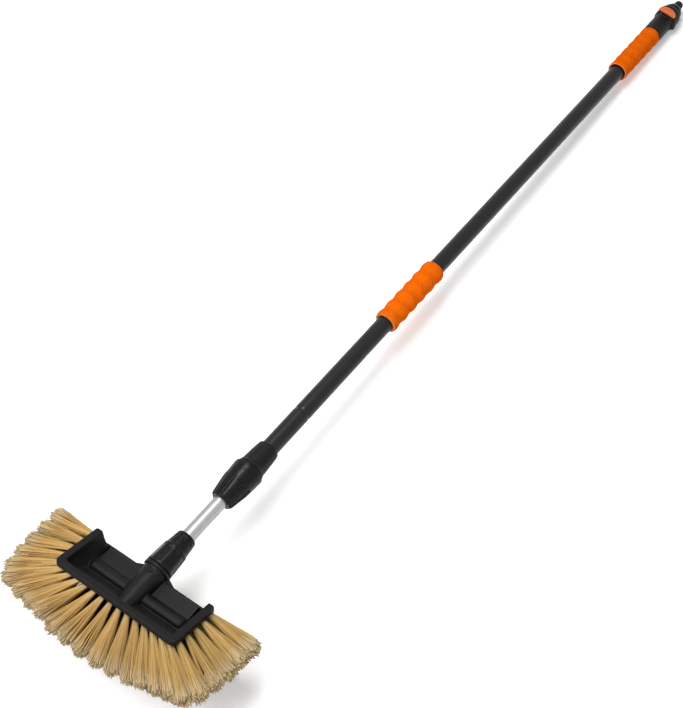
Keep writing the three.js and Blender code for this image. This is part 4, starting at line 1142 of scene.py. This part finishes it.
def makeBristles(name, tufts, node):
    mesh = bpy.data.meshes.new(name)
    roots = []
    vectorsOf = {"aim": [], "across": [], "upward": []}
    depths = []
    for root, way, length in tufts:
        shake = Vector([luck.uniform(-1, 1) for _ in range(3)]) * tuft["jitter"]
        way = (way + shake).normalized()
        across = way.cross(Vector((0, 0, 1))).normalized()
        if way.z < -tuft["plumb"]:
            across = Vector((1, 0, 0))
        upward = across.cross(way).normalized()
        roots.append(tuple(root - way * tuft["rootDepth"]))
        reach = length * (1 + luck.uniform(-1, 1) * tuft["lengthJitter"]) + tuft["rootDepth"]
        vectorsOf["aim"].append(way * reach)
        vectorsOf["across"].append(across)
        vectorsOf["upward"].append(upward)
        # Depth under the first tier, which sets how much painted shade darkens the tuft's root.
        depths.append(min(1.0, max(0.0, (-root.z - tiers[0]["drop"]) / tuft["shadeDepth"])))
    mesh.from_pydata(roots, [], [])
    for key, values in vectorsOf.items():
        layer = mesh.attributes.new(key, "FLOAT_VECTOR", "POINT")
        layer.data.foreach_set("vector", [number for value in values for number in value])
    mesh.attributes.new("under", "FLOAT", "POINT").data.foreach_set("value", depths)
    piece = newObject(name, mesh)
    useTree(piece, bristleTree, bristleInputs, {**fibres, "Material": strawFibre})
    for key in (*vectorsOf, "disc", "base", "reach", "bend"):
        layer = piece.data.attributes.get(key)
        if layer:
            piece.data.attributes.remove(layer)
    settle(piece, headSpace, "head", strawFibre, "fibre", node)
    for point in piece.data.vertices:
        if point.co.z < 2 * tuft["floorGap"]:
            under = 2 * tuft["floorGap"] - point.co.z
            point.co.z = tuft["floorGap"] * (1 + math.exp(-under / tuft["squash"]))
    print(name, "made:", len(tufts), "tufts,", len(piece.data.polygons), "faces")


makeBristles("frontBristles", frontTufts(), "front_bristles")
makeBristles("leftBristles", endTufts(-1), "left_bristles")
makeBristles("rightBristles", endTufts(1), "right_bristles")
makeBristles("bottomBristles", bottomTufts(), "bottom_bristles")


# Nuts, tubes and their clamp
collarNut = {
    "start": 0.8,
    "end": 62.0,
    "wide": 21.6,
    "skirt": (0.3, 5.6),         # how much its first stretch draws in, and its length
    "band": 19.4,
    "step": 36.5,
    "stepHeight": 1.1,
    "stepRun": 0.8,
    "narrow": 15.6,
    "lip": 14.4,
    "lipLength": 2.8,
    "bore": 16.8,
    "throat": 31.0,
    "mouth": 11.6,
    "mouthCone": 2.4,
    "mouthDepths": (4.5, 3.5),
    "count": 8,
    "flatDepth": 0.8,
    "flatLength": 27.0,
    "slot": (2.6, 8.0),
    "slotDepth": 1.1,
    "slotAt": 52.0,
    "cutHeight": 8.0,
    "round": 1.6,
    "sides": 128,
    "voxel": 0.65,
}


def makeCollarNut():
    n = collarNut
    outer = [
        (n["bore"], n["start"]),
        (n["wide"], n["start"]),
        (n["wide"] - n["skirt"][0], n["start"] + n["skirt"][1]),
        (n["band"], n["step"]),
        (n["band"] - n["stepHeight"], n["step"] + n["stepRun"]),
        (n["narrow"], n["end"] - n["lipLength"]),
        (n["lip"], n["end"]),
        (n["mouth"], n["end"]),
    ]
    inner = [
        (n["bore"], n["throat"]),
        (n["mouth"] + n["mouthCone"], n["end"] - n["mouthDepths"][0]),
        (n["mouth"], n["end"] - n["mouthDepths"][1]),
    ]
    nut = lathe("collarNut", pipeProfile(outer, inner, n["round"]), n["sides"], closed=True)
    slope = (n["band"] - n["wide"]) / (n["step"] - n["start"])
    middle = (n["start"] + n["step"]) / 2
    floor = (n["wide"] + n["band"]) / 2 - n["flatDepth"]
    flats = oblong(n["wide"], n["flatLength"])
    combine(nut, ringOf(flats, 0.0, n["cutHeight"], middle, floor, slope, n["count"], nutPlastic))
    slope = (n["narrow"] - n["band"] + n["stepHeight"]) / (n["end"] - n["step"])
    floor = n["narrow"] - slope * (n["end"] - n["slotAt"]) - n["slotDepth"]
    slots = slotOutline(*n["slot"])
    combine(nut, ringOf(slots, 0.0, n["cutHeight"], n["slotAt"], floor, slope, n["count"],
                        nutPlastic, math.pi / n["count"]))
    soften(nut, n["voxel"], 3)
    settle(nut, handleSpace, "collar_nut", nutPlastic, "black_plastic", "collar_nut")


makeCollarNut()

tubes = {
    "inner": {"radius": 11.0, "start": -19.0, "end": 1308.0, "groove": None},
    "outer": {"radius": 14.0, "start": 215.0, "end": 1426.4, "groove": 324.0},
    "wall": 1.2,
    "grooveHalf": 4.0,
    "grooveDepth": 0.6,
    "grooveSteps": 8,
    "sides": 128,
    "sections": 24,
    "sharp": math.radians(40),
}


def tubeLine(line, radius):
    # A straight wall in even sections, with a rolled groove where the tube has one.
    t = tubes
    start, end, mark = line["start"], line["end"], line["groove"]
    places = {start + (end - start) * i / t["sections"] for i in range(t["sections"] + 1)}
    if mark is None:
        return [(radius, at) for at in sorted(places)]
    steps = t["grooveSteps"]
    places = {at for at in places if abs(at - mark) > t["grooveHalf"]}
    places |= {mark + t["grooveHalf"] * share / steps for share in range(-steps, steps + 1)}
    points = []
    for at in sorted(places):
        share = min(1.0, abs(at - mark) / t["grooveHalf"])
        points.append((radius - t["grooveDepth"] * (0.5 + 0.5 * math.cos(math.pi * share)), at))
    return points


def makeTube(name, line, body, material, slot, node):
    outer = tubeLine(line, line["radius"])
    inner = tubeLine(line, line["radius"] - tubes["wall"])
    tube = lathe(name, outer + list(reversed(inner)), tubes["sides"], closed=True)
    settle(tube, handleSpace, body, material, slot, node)
    tube.data.set_sharp_from_angle(angle=tubes["sharp"])


makeTube("innerTube", tubes["inner"], "tube", bareAluminium, "bare_aluminium", "inner_tube")
makeTube("outerTube", tubes["outer"], "handle", charcoalCoat, "charcoal_aluminium", "outer_tube")

lockNut = {
    "start": 134.0,
    "end": 198.5,
    "radius": 24.8,
    "shares": (
        (0.0, 0.62), (0.025, 0.7), (0.068, 0.754), (0.209, 0.815), (0.352, 0.87), (0.493, 0.93),
        (0.62, 0.948), (0.775, 0.976), (0.885, 0.985), (0.9, 1.0), (0.985, 1.0), (1.0, 0.97),
    ),
    "bore": 17.6,
    "mouth": 11.6,
    "mouthCone": 2.6,
    "mouthDepths": (4.0, 6.5),
    "throat": 163.5,
    "flutes": 8,
    "flute": (6.8, 40.0),
    "fluteAt": 152.5,
    "fluteDepth": 3.0,
    "rib": (2.6, 33.0),
    "ribHeight": 2.0,
    "ribSunk": 1.2,
    "cutHeight": 8.0,
    "round": 0.6,
    "sides": 128,
    "voxel": 0.51,
}


def makeLockNut():
    n = lockNut
    length = n["end"] - n["start"]
    outer = [(n["radius"] * share, n["start"] + length * along) for along, share in n["shares"]]
    inner = [
        (n["mouth"], n["start"]),
        (n["mouth"], n["start"] + n["mouthDepths"][0]),
        (n["mouth"] + n["mouthCone"], n["start"] + n["mouthDepths"][1]),
        (n["bore"], n["throat"]),
        (n["bore"], n["end"]),
    ]
    nut = lathe("lockNut", pipeProfile(outer, inner, n["round"]), n["sides"], closed=True)
    low, high = outer[2], outer[5]
    slope = slopeOf(low, high)
    floor = low[0] + slope * (n["fluteAt"] - low[1]) - n["fluteDepth"]
    place = (n["fluteAt"], floor, slope, n["flutes"], nutPlastic)
    combine(nut, ringOf(slotOutline(*n["flute"]), 0.0, n["cutHeight"], *place))
    united(nut, ringOf(slotOutline(*n["rib"]), -n["ribSunk"], n["ribHeight"], *place))
    soften(nut, n["voxel"], 3)
    settle(nut, handleSpace, "lock_nut", nutPlastic, "black_plastic", "lock_nut")


makeLockNut()

lockSleeve = {
    "ringStart": 199.1,
    "ringRadius": 20.4,
    "start": 201.0,
    "end": 245.0,
    "radius": 22.0,
    "shares": (
        (0.0, 1.0), (0.05, 0.995), (0.12, 0.93), (0.27, 0.905), (0.48, 0.88), (0.7, 0.847),
        (0.91, 0.807), (0.985, 0.775), (1.0, 0.735),
    ),
    "spigotStart": 164.5,
    "spigot": 17.3,
    "bore": 11.3,
    "seat": 14.3,
    "seatStart": 214.7,
    "ribs": 14,
    "rib": (2.4, 32.0),
    "ribAt": 224.0,
    "ribDepth": 0.22,
    "cutHeight": 6.0,
    "round": 0.7,
    "sides": 128,
    "voxel": 0.55,
}


def makeLockSleeve():
    s = lockSleeve
    length = s["end"] - s["start"]
    cone = [(s["radius"] * share, s["start"] + length * along) for along, share in s["shares"]]
    outer = [
        (s["bore"], s["spigotStart"]),
        (s["spigot"], s["spigotStart"]),
        (s["spigot"], s["ringStart"]),
        (s["ringRadius"], s["ringStart"]),
        (s["ringRadius"], s["start"]),
        *cone,
        (s["seat"], s["end"]),
    ]
    inner = [(s["bore"], s["seatStart"]), (s["seat"], s["seatStart"])]
    profile = pipeProfile(outer, inner, s["round"])
    sleeve = lathe("lockSleeve", profile, s["sides"], closed=True)
    low, high = cone[3], cone[6]
    slope = slopeOf(low, high)
    floor = low[0] + slope * (s["ribAt"] - low[1]) - s["ribDepth"]
    grooves = slotOutline(*s["rib"])
    combine(sleeve, ringOf(grooves, 0.0, s["cutHeight"], s["ribAt"], floor, slope, s["ribs"],
                           blackPlastic))
    soften(sleeve, s["voxel"], 2)
    settle(sleeve, handleSpace, "handle", blackPlastic, "black_plastic", "lock_sleeve")


makeLockSleeve()
print("nuts, tubes and clamp made")


# Foam grips
middleGrip = {
    "start": 541.0,
    "end": 681.0,
    "crest": 548.0,
    "pitch": 24.7,
    "peak": 19.9,
    "valley": 18.1,
    "mouth": 14.3,
    "mouthLength": 6.0,
}
endGrip = {
    "start": 1293.4,
    "end": 1426.4,
    "crest": 1299.4,
    "pitch": 24.0,
    "peak": 19.3,
    "valley": 18.3,
    "mouth": 16.6,
    "mouthLength": 9.0,
}
foam = {
    "bore": 14.3,
    "lip": 1.5,
    "round": 3.0,
    "roundSteps": 6,
    "rings": 150,
    "sides": 144,
    "dent": 0.16,
    "dentScale": 0.35,
    "dentAbove": 15.8,       # the radius inside which the foam stays smooth
    "fill": 0.9,
}


def makeGrip(name, g, node):
    # Waves along the foam, round ends, a mouth that stands off the tube, and small dents.
    quarter = [0.5 * math.pi * step / foam["roundSteps"] for step in range(foam["roundSteps"] + 1)]

    def wave(at):
        swing = 0.5 + 0.5 * math.cos(2 * math.pi * (at - g["crest"]) / g["pitch"])
        return g["valley"] + (g["peak"] - g["valley"]) * swing

    profile = [(foam["bore"], g["start"] + g["mouthLength"]), (g["mouth"], g["start"])]
    first, last = g["start"] + foam["lip"], g["end"] - foam["round"]
    for angle in quarter:
        low = wave(first) - foam["lip"] * (1 - math.sin(angle))
        profile.append((low, first - foam["lip"] * math.cos(angle)))
    for step in range(1, foam["rings"]):
        at = first + (last - first) * step / foam["rings"]
        profile.append((wave(at), at))
    for angle in quarter:
        low = wave(last) - foam["round"] * (1 - math.cos(angle))
        profile.append((low, last + foam["round"] * math.sin(angle)))
    profile.append((foam["bore"], g["end"]))
    grip = lathe(name, profile, foam["sides"], closed=True)
    for point in grip.data.vertices:
        radius = math.hypot(point.co.x, point.co.z)
        if radius > foam["dentAbove"]:
            dent = foam["dent"] * turbulence.noise(point.co * foam["dentScale"])
            point.co.x *= 1 + dent / radius
            point.co.z *= 1 + dent / radius
    settle(grip, handleSpace, "handle", orangeFoam, "orange_foam", node)


makeGrip("middleGrip", middleGrip, "middle_grip")
makeGrip("endGrip", endGrip, "end_grip")
print("foam grips made")


# Valve, knob and hose nipple
valve = {
    "turn": math.radians(15),
    "spigotStart": 1402.0,
    "spigot": 12.5,
    "spigotBore": 8.5,
    "barrelStart": 1426.7,
    "barrel": 18.9,
    "bulgeStart": 1477.0,
    "bulge": 22.5,
    "bulgeEnd": 1502.0,
    "shoulderStart": 1509.0,
    "shoulder": 17.4,
    "shoulderEnd": 1517.0,
    "noseEnd": 1527.0,
    "nose": 12.5,
    "plugAt": 1482.0,
    "plug": 9.3,
    "plugDepth": 11.3,
    "passage": 4.3,
    "seat": 6.8,
    "seatHalf": 14.3,
    "pad": 13.0,
    "padHeight": 20.6,
    "socket": 7.3,
    "socketDepth": 13.0,
    "lobeAt": 1481.0,
    "lobe": 8.5,
    "lobeReach": 23.5,
    "lobeDrop": 3.0,
    "lobeSides": 64,
    "round": 4.0,
    "profileRound": 1.6,
    "past": 5.0,
    "sides": 128,
    "voxel": 0.7,
}
knob = {
    "stem": 6.5,
    "width": 35.0,
    "length": 15.0,
    "chord": 10.0,
    "from": 23.1,
    "thickness": 6.5,
    "edge": 1.5,
    "crown": ((0.6, 0.5), (1.9, 0.0)),   # inset and depth of the top's last two outlines
    "stemGap": 0.3,
    "stemInto": 3.0,
    "steps": 32,
    "centre": 0.42,
    "voxel": 0.4,
}
plugPlace = Matrix.Rotation(valve["turn"], 4, "Y") @ Matrix.Translation((0, valve["plugAt"], 0))
standing = plugPlace @ Matrix.Rotation(0.5 * math.pi, 4, "X")


def makeValveHousing():
    v = valve
    edge = v["round"]
    outer = rounded([
        (0.0, v["spigotStart"]),
        (v["spigot"], v["spigotStart"]),
        (v["spigot"], v["barrelStart"]),
        (v["barrel"], v["barrelStart"]),
        (v["barrel"], v["bulgeStart"]),
        (v["bulge"], v["bulgeStart"] + 1.5 * edge),
        (v["bulge"], v["bulgeEnd"]),
        (v["bulge"] - edge / 2, v["bulgeEnd"] + edge),
        (v["shoulder"], v["shoulderStart"]),
        (v["shoulder"], v["shoulderEnd"]),
        (v["nose"], v["noseEnd"]),
        (0.0, v["noseEnd"]),
    ], v["profileRound"])
    housing = lathe("valveHousing", outer, v["sides"])
    pad = rod("pad", v["pad"], 0.0, v["padHeight"], standing)
    aside = Matrix.Rotation(-0.5 * math.pi, 4, "Z")
    lay = Matrix.Translation((0, v["lobeAt"], -v["lobeDrop"])) @ aside
    lobe = lathe("lobe", rounded([
        (0.0, 0.0),
        (v["lobe"], 0.0),
        (v["lobe"], v["lobeReach"]),
        (0.0, v["lobeReach"]),
    ], edge), v["lobeSides"], space=lay)
    united(housing, pad, lobe)
    low = (-v["bulge"], -v["pad"], v["padHeight"])
    above = box("above", low, (v["bulge"], v["pad"], 2 * v["bulge"]))
    above.data.transform(plugPlace)
    combine(housing, above)
    front, rear = v["plugAt"] - v["seatHalf"], v["plugAt"] + v["seatHalf"]
    combine(housing, rod("cavity", v["plug"], -v["plugDepth"], 2 * v["bulge"], standing))
    for name, radius, start, end in (
        ("spigotBore", v["spigotBore"], v["spigotStart"] - v["past"], front - edge),
        ("passage", v["passage"], v["spigotStart"], v["noseEnd"]),
        ("seats", v["seat"], front, rear),
        ("socket", v["socket"], v["noseEnd"] - v["socketDepth"], v["noseEnd"] + v["past"]),
    ):
        combine(housing, rod(name, radius, start, end))
    soften(housing, v["voxel"], 3)
    settle(housing, handleSpace, "handle", blackPlastic, "black_plastic", "valve_body")


def makeKnob():
    k = knob
    half = k["width"] / 2
    halfMoon = [(-half, -k["chord"]), (half, -k["chord"])]
    for step in range(1, k["steps"]):
        angle = math.pi * step / k["steps"]
        halfMoon.append((half * math.cos(angle), k["length"] * math.sin(angle) - k["chord"]))
    middle = k["length"] * k["centre"] - k["chord"]
    top = k["from"] + k["thickness"]
    sides = [(k["edge"], k["from"]), (0.0, k["from"] + k["edge"]), (0.0, top - k["edge"])]
    rings = []
    for inset, level in sides + [(inset, top - depth) for inset, depth in k["crown"]]:
        share = 1 - 2 * inset / k["width"]
        low = 1 - 2 * inset / k["length"]
        rings.append([Vector((a * share, middle + (b - middle) * low, level)) for a, b in halfMoon])
    plate = loft("valveKnob", rings)
    plate.data.transform(plugPlace)
    low = valve["padHeight"] + k["stemGap"]
    united(plate, rod("stem", k["stem"], low, k["from"] + k["stemInto"], standing))
    soften(plate, k["voxel"], 4)
    settle(plate, handleSpace, "knob", orangePlastic, "orange_plastic", "valve_knob")


makeValveHousing()
makeKnob()

nipple = {
    "rootStart": 1514.3,
    "root": 7.0,
    "bore": 4.6,
    "flangeStart": 1527.3,
    "flange": 11.5,
    "flangeThickness": 2.6,
    "neck": 6.7,
    "neckLength": 4.5,
    "head": 8.3,
    "headLength": 10.6,
    "entry": 0.6,
    "bevel": (1.0, 0.8),
    "round": 0.5,
    "groove": (1539.7, 1.0, 1.3),        # place, half width, depth
    "seal": (0.62, 0.85),                # half height, half width
    "sealSteps": 16,
    "sides": 96,
    "sharp": math.radians(50),
}


def makeNipple():
    n = nipple
    neckStart = n["flangeStart"] + n["flangeThickness"]
    headStart = neckStart + n["neckLength"]
    end = headStart + n["headLength"]
    sealAt, halfWidth, depth = n["groove"]
    outer = [
        (n["bore"], n["rootStart"]),
        (n["root"], n["rootStart"]),
        (n["root"], n["flangeStart"]),
        (n["flange"], n["flangeStart"]),
        (n["flange"], neckStart),
        (n["neck"], neckStart),
        (n["neck"], headStart),
        (n["head"], headStart + n["entry"]),
        (n["head"], sealAt - halfWidth),
        (n["head"] - depth, sealAt - halfWidth),
        (n["head"] - depth, sealAt + halfWidth),
        (n["head"], sealAt + halfWidth),
        (n["head"], end - n["bevel"][1]),
        (n["head"] - n["bevel"][0], end),
        (n["bore"], end),
    ]
    piece = lathe("hoseNipple", rounded(outer, n["round"]), n["sides"], closed=True)
    settle(piece, handleSpace, "handle", blackPlastic, "black_plastic", "hose_nipple")
    piece.data.set_sharp_from_angle(angle=n["sharp"])
    high, wide = n["seal"]
    section = []
    for step in range(n["sealSteps"]):
        angle = 2 * math.pi * step / n["sealSteps"]
        radius = n["head"] - depth / 2 + high * math.cos(angle)
        section.append((radius, sealAt + wide * math.sin(angle)))
    seal = lathe("nippleSeal", section, n["sides"], closed=True)
    settle(seal, handleSpace, "handle", sealRubber, "seal_rubber", "nipple_seal")


makeNipple()
print("valve, knob and nipple made")


# Floor and light
studio = {
    "floorSize": 30.0,
    "paper": {"colour": (0.93, 0.93, 0.93), "roughness": 0.9, "specular": 0.1},
    "floorGlow": (0.3, 0.95),
    "glowReach": (1.3, 4.5),
    "fallStart": 0.87,
    "fallSteps": (0.0, 0.05, 0.1, 0.15, 0.2, 0.3, 0.4, 0.6, 0.8, 1.2, 1.8, 3.0, 15.0),
    "fallSlope": 0.085,
    "fallEase": 0.15,
    "world": 0.09,
    "lamps": {               # place, what it points at, its two sides and its power
        "keyLamp": ((-0.9, -1.7, 3.0), (0, -0.1, 0), (3.0, 3.0), 95.0),
        "bandLamp": ((-0.15, 0.05, 2.4), (0, -0.1, 0), (0.45, 1.3), 30.0),
        "sideLamp": ((2.4, -1.4, 2.2), (0, -0.2, 0), (1.6, 1.6), 28.0),
    },
}


def seenDirectly(tree):
    # 1 for what the camera, a reflection or a clear part shows, and 0 for the light that falls.
    path = put(tree, "ShaderNodeLightPath").outputs
    mirrored = numbers(tree, "MAXIMUM", path["Is Camera Ray"], path["Is Glossy Ray"])
    return numbers(tree, "MAXIMUM", mirrored, path["Is Transmission Ray"])


def makeStudio():
    s = studio
    half = s["floorSize"] / 2
    mesh = bpy.data.meshes.new("floor")
    points = [(-half, -half, 0.0), (half, -half, 0.0)]
    for past in s["fallSteps"]:
        # Past the nipple the floor sinks, so that the drawn-out handle stays above it.
        drop = s["fallSlope"] * past * past / (past + s["fallEase"])
        points += [(-half, s["fallStart"] + past, -drop), (half, s["fallStart"] + past, -drop)]
    strips = [(i, i + 1, i + 3, i + 2) for i in range(0, len(points) - 2, 2)]
    mesh.from_pydata(points, [], strips)
    mesh.shade_smooth()
    floor = newObject("floor", mesh)
    material, tree, shader = newMaterial("floorPaper", s["paper"])
    shader.inputs["Emission Color"].default_value = (1, 1, 1, 1)
    place = put(tree, "ShaderNodeTexCoord").outputs["Object"]
    away = put(tree, "ShaderNodeVectorMath", {0: place}, operation="LENGTH").outputs["Value"]
    spread = put(tree, "ShaderNodeMapRange", {
        "Value": away,
        "From Min": s["glowReach"][0],
        "From Max": s["glowReach"][1],
        "To Min": s["floorGlow"][0],
        "To Max": s["floorGlow"][1],
    }).outputs[0]
    glow = numbers(tree, "MULTIPLY", seenDirectly(tree), spread)
    tree.links.new(glow, shader.inputs["Emission Strength"])
    mesh.materials.append(material)
    world = bpy.data.worlds.new("studio")
    scene.world = world
    world.use_nodes = True
    tree = world.node_tree
    tree.nodes.clear()
    strength = numbers(tree, "MULTIPLY_ADD", seenDirectly(tree), 1 - s["world"], s["world"])
    sky = put(tree, "ShaderNodeBackground", {"Color": (1, 1, 1, 1), "Strength": strength})
    put(tree, "ShaderNodeOutputWorld", {"Surface": sky.outputs[0]})
    for name, (place, aim, size, power) in s["lamps"].items():
        data = bpy.data.lights.new(name, "AREA")
        data.shape = "RECTANGLE"
        data.size, data.size_y = size
        data.energy = power
        lamp = newObject(name, data)
        lamp.location = place
        lamp.rotation_euler = (Vector(aim) - Vector(place)).to_track_quat("-Z", "Y").to_euler()


makeStudio()
scene.view_settings.view_transform = "Standard"
print("studio set")
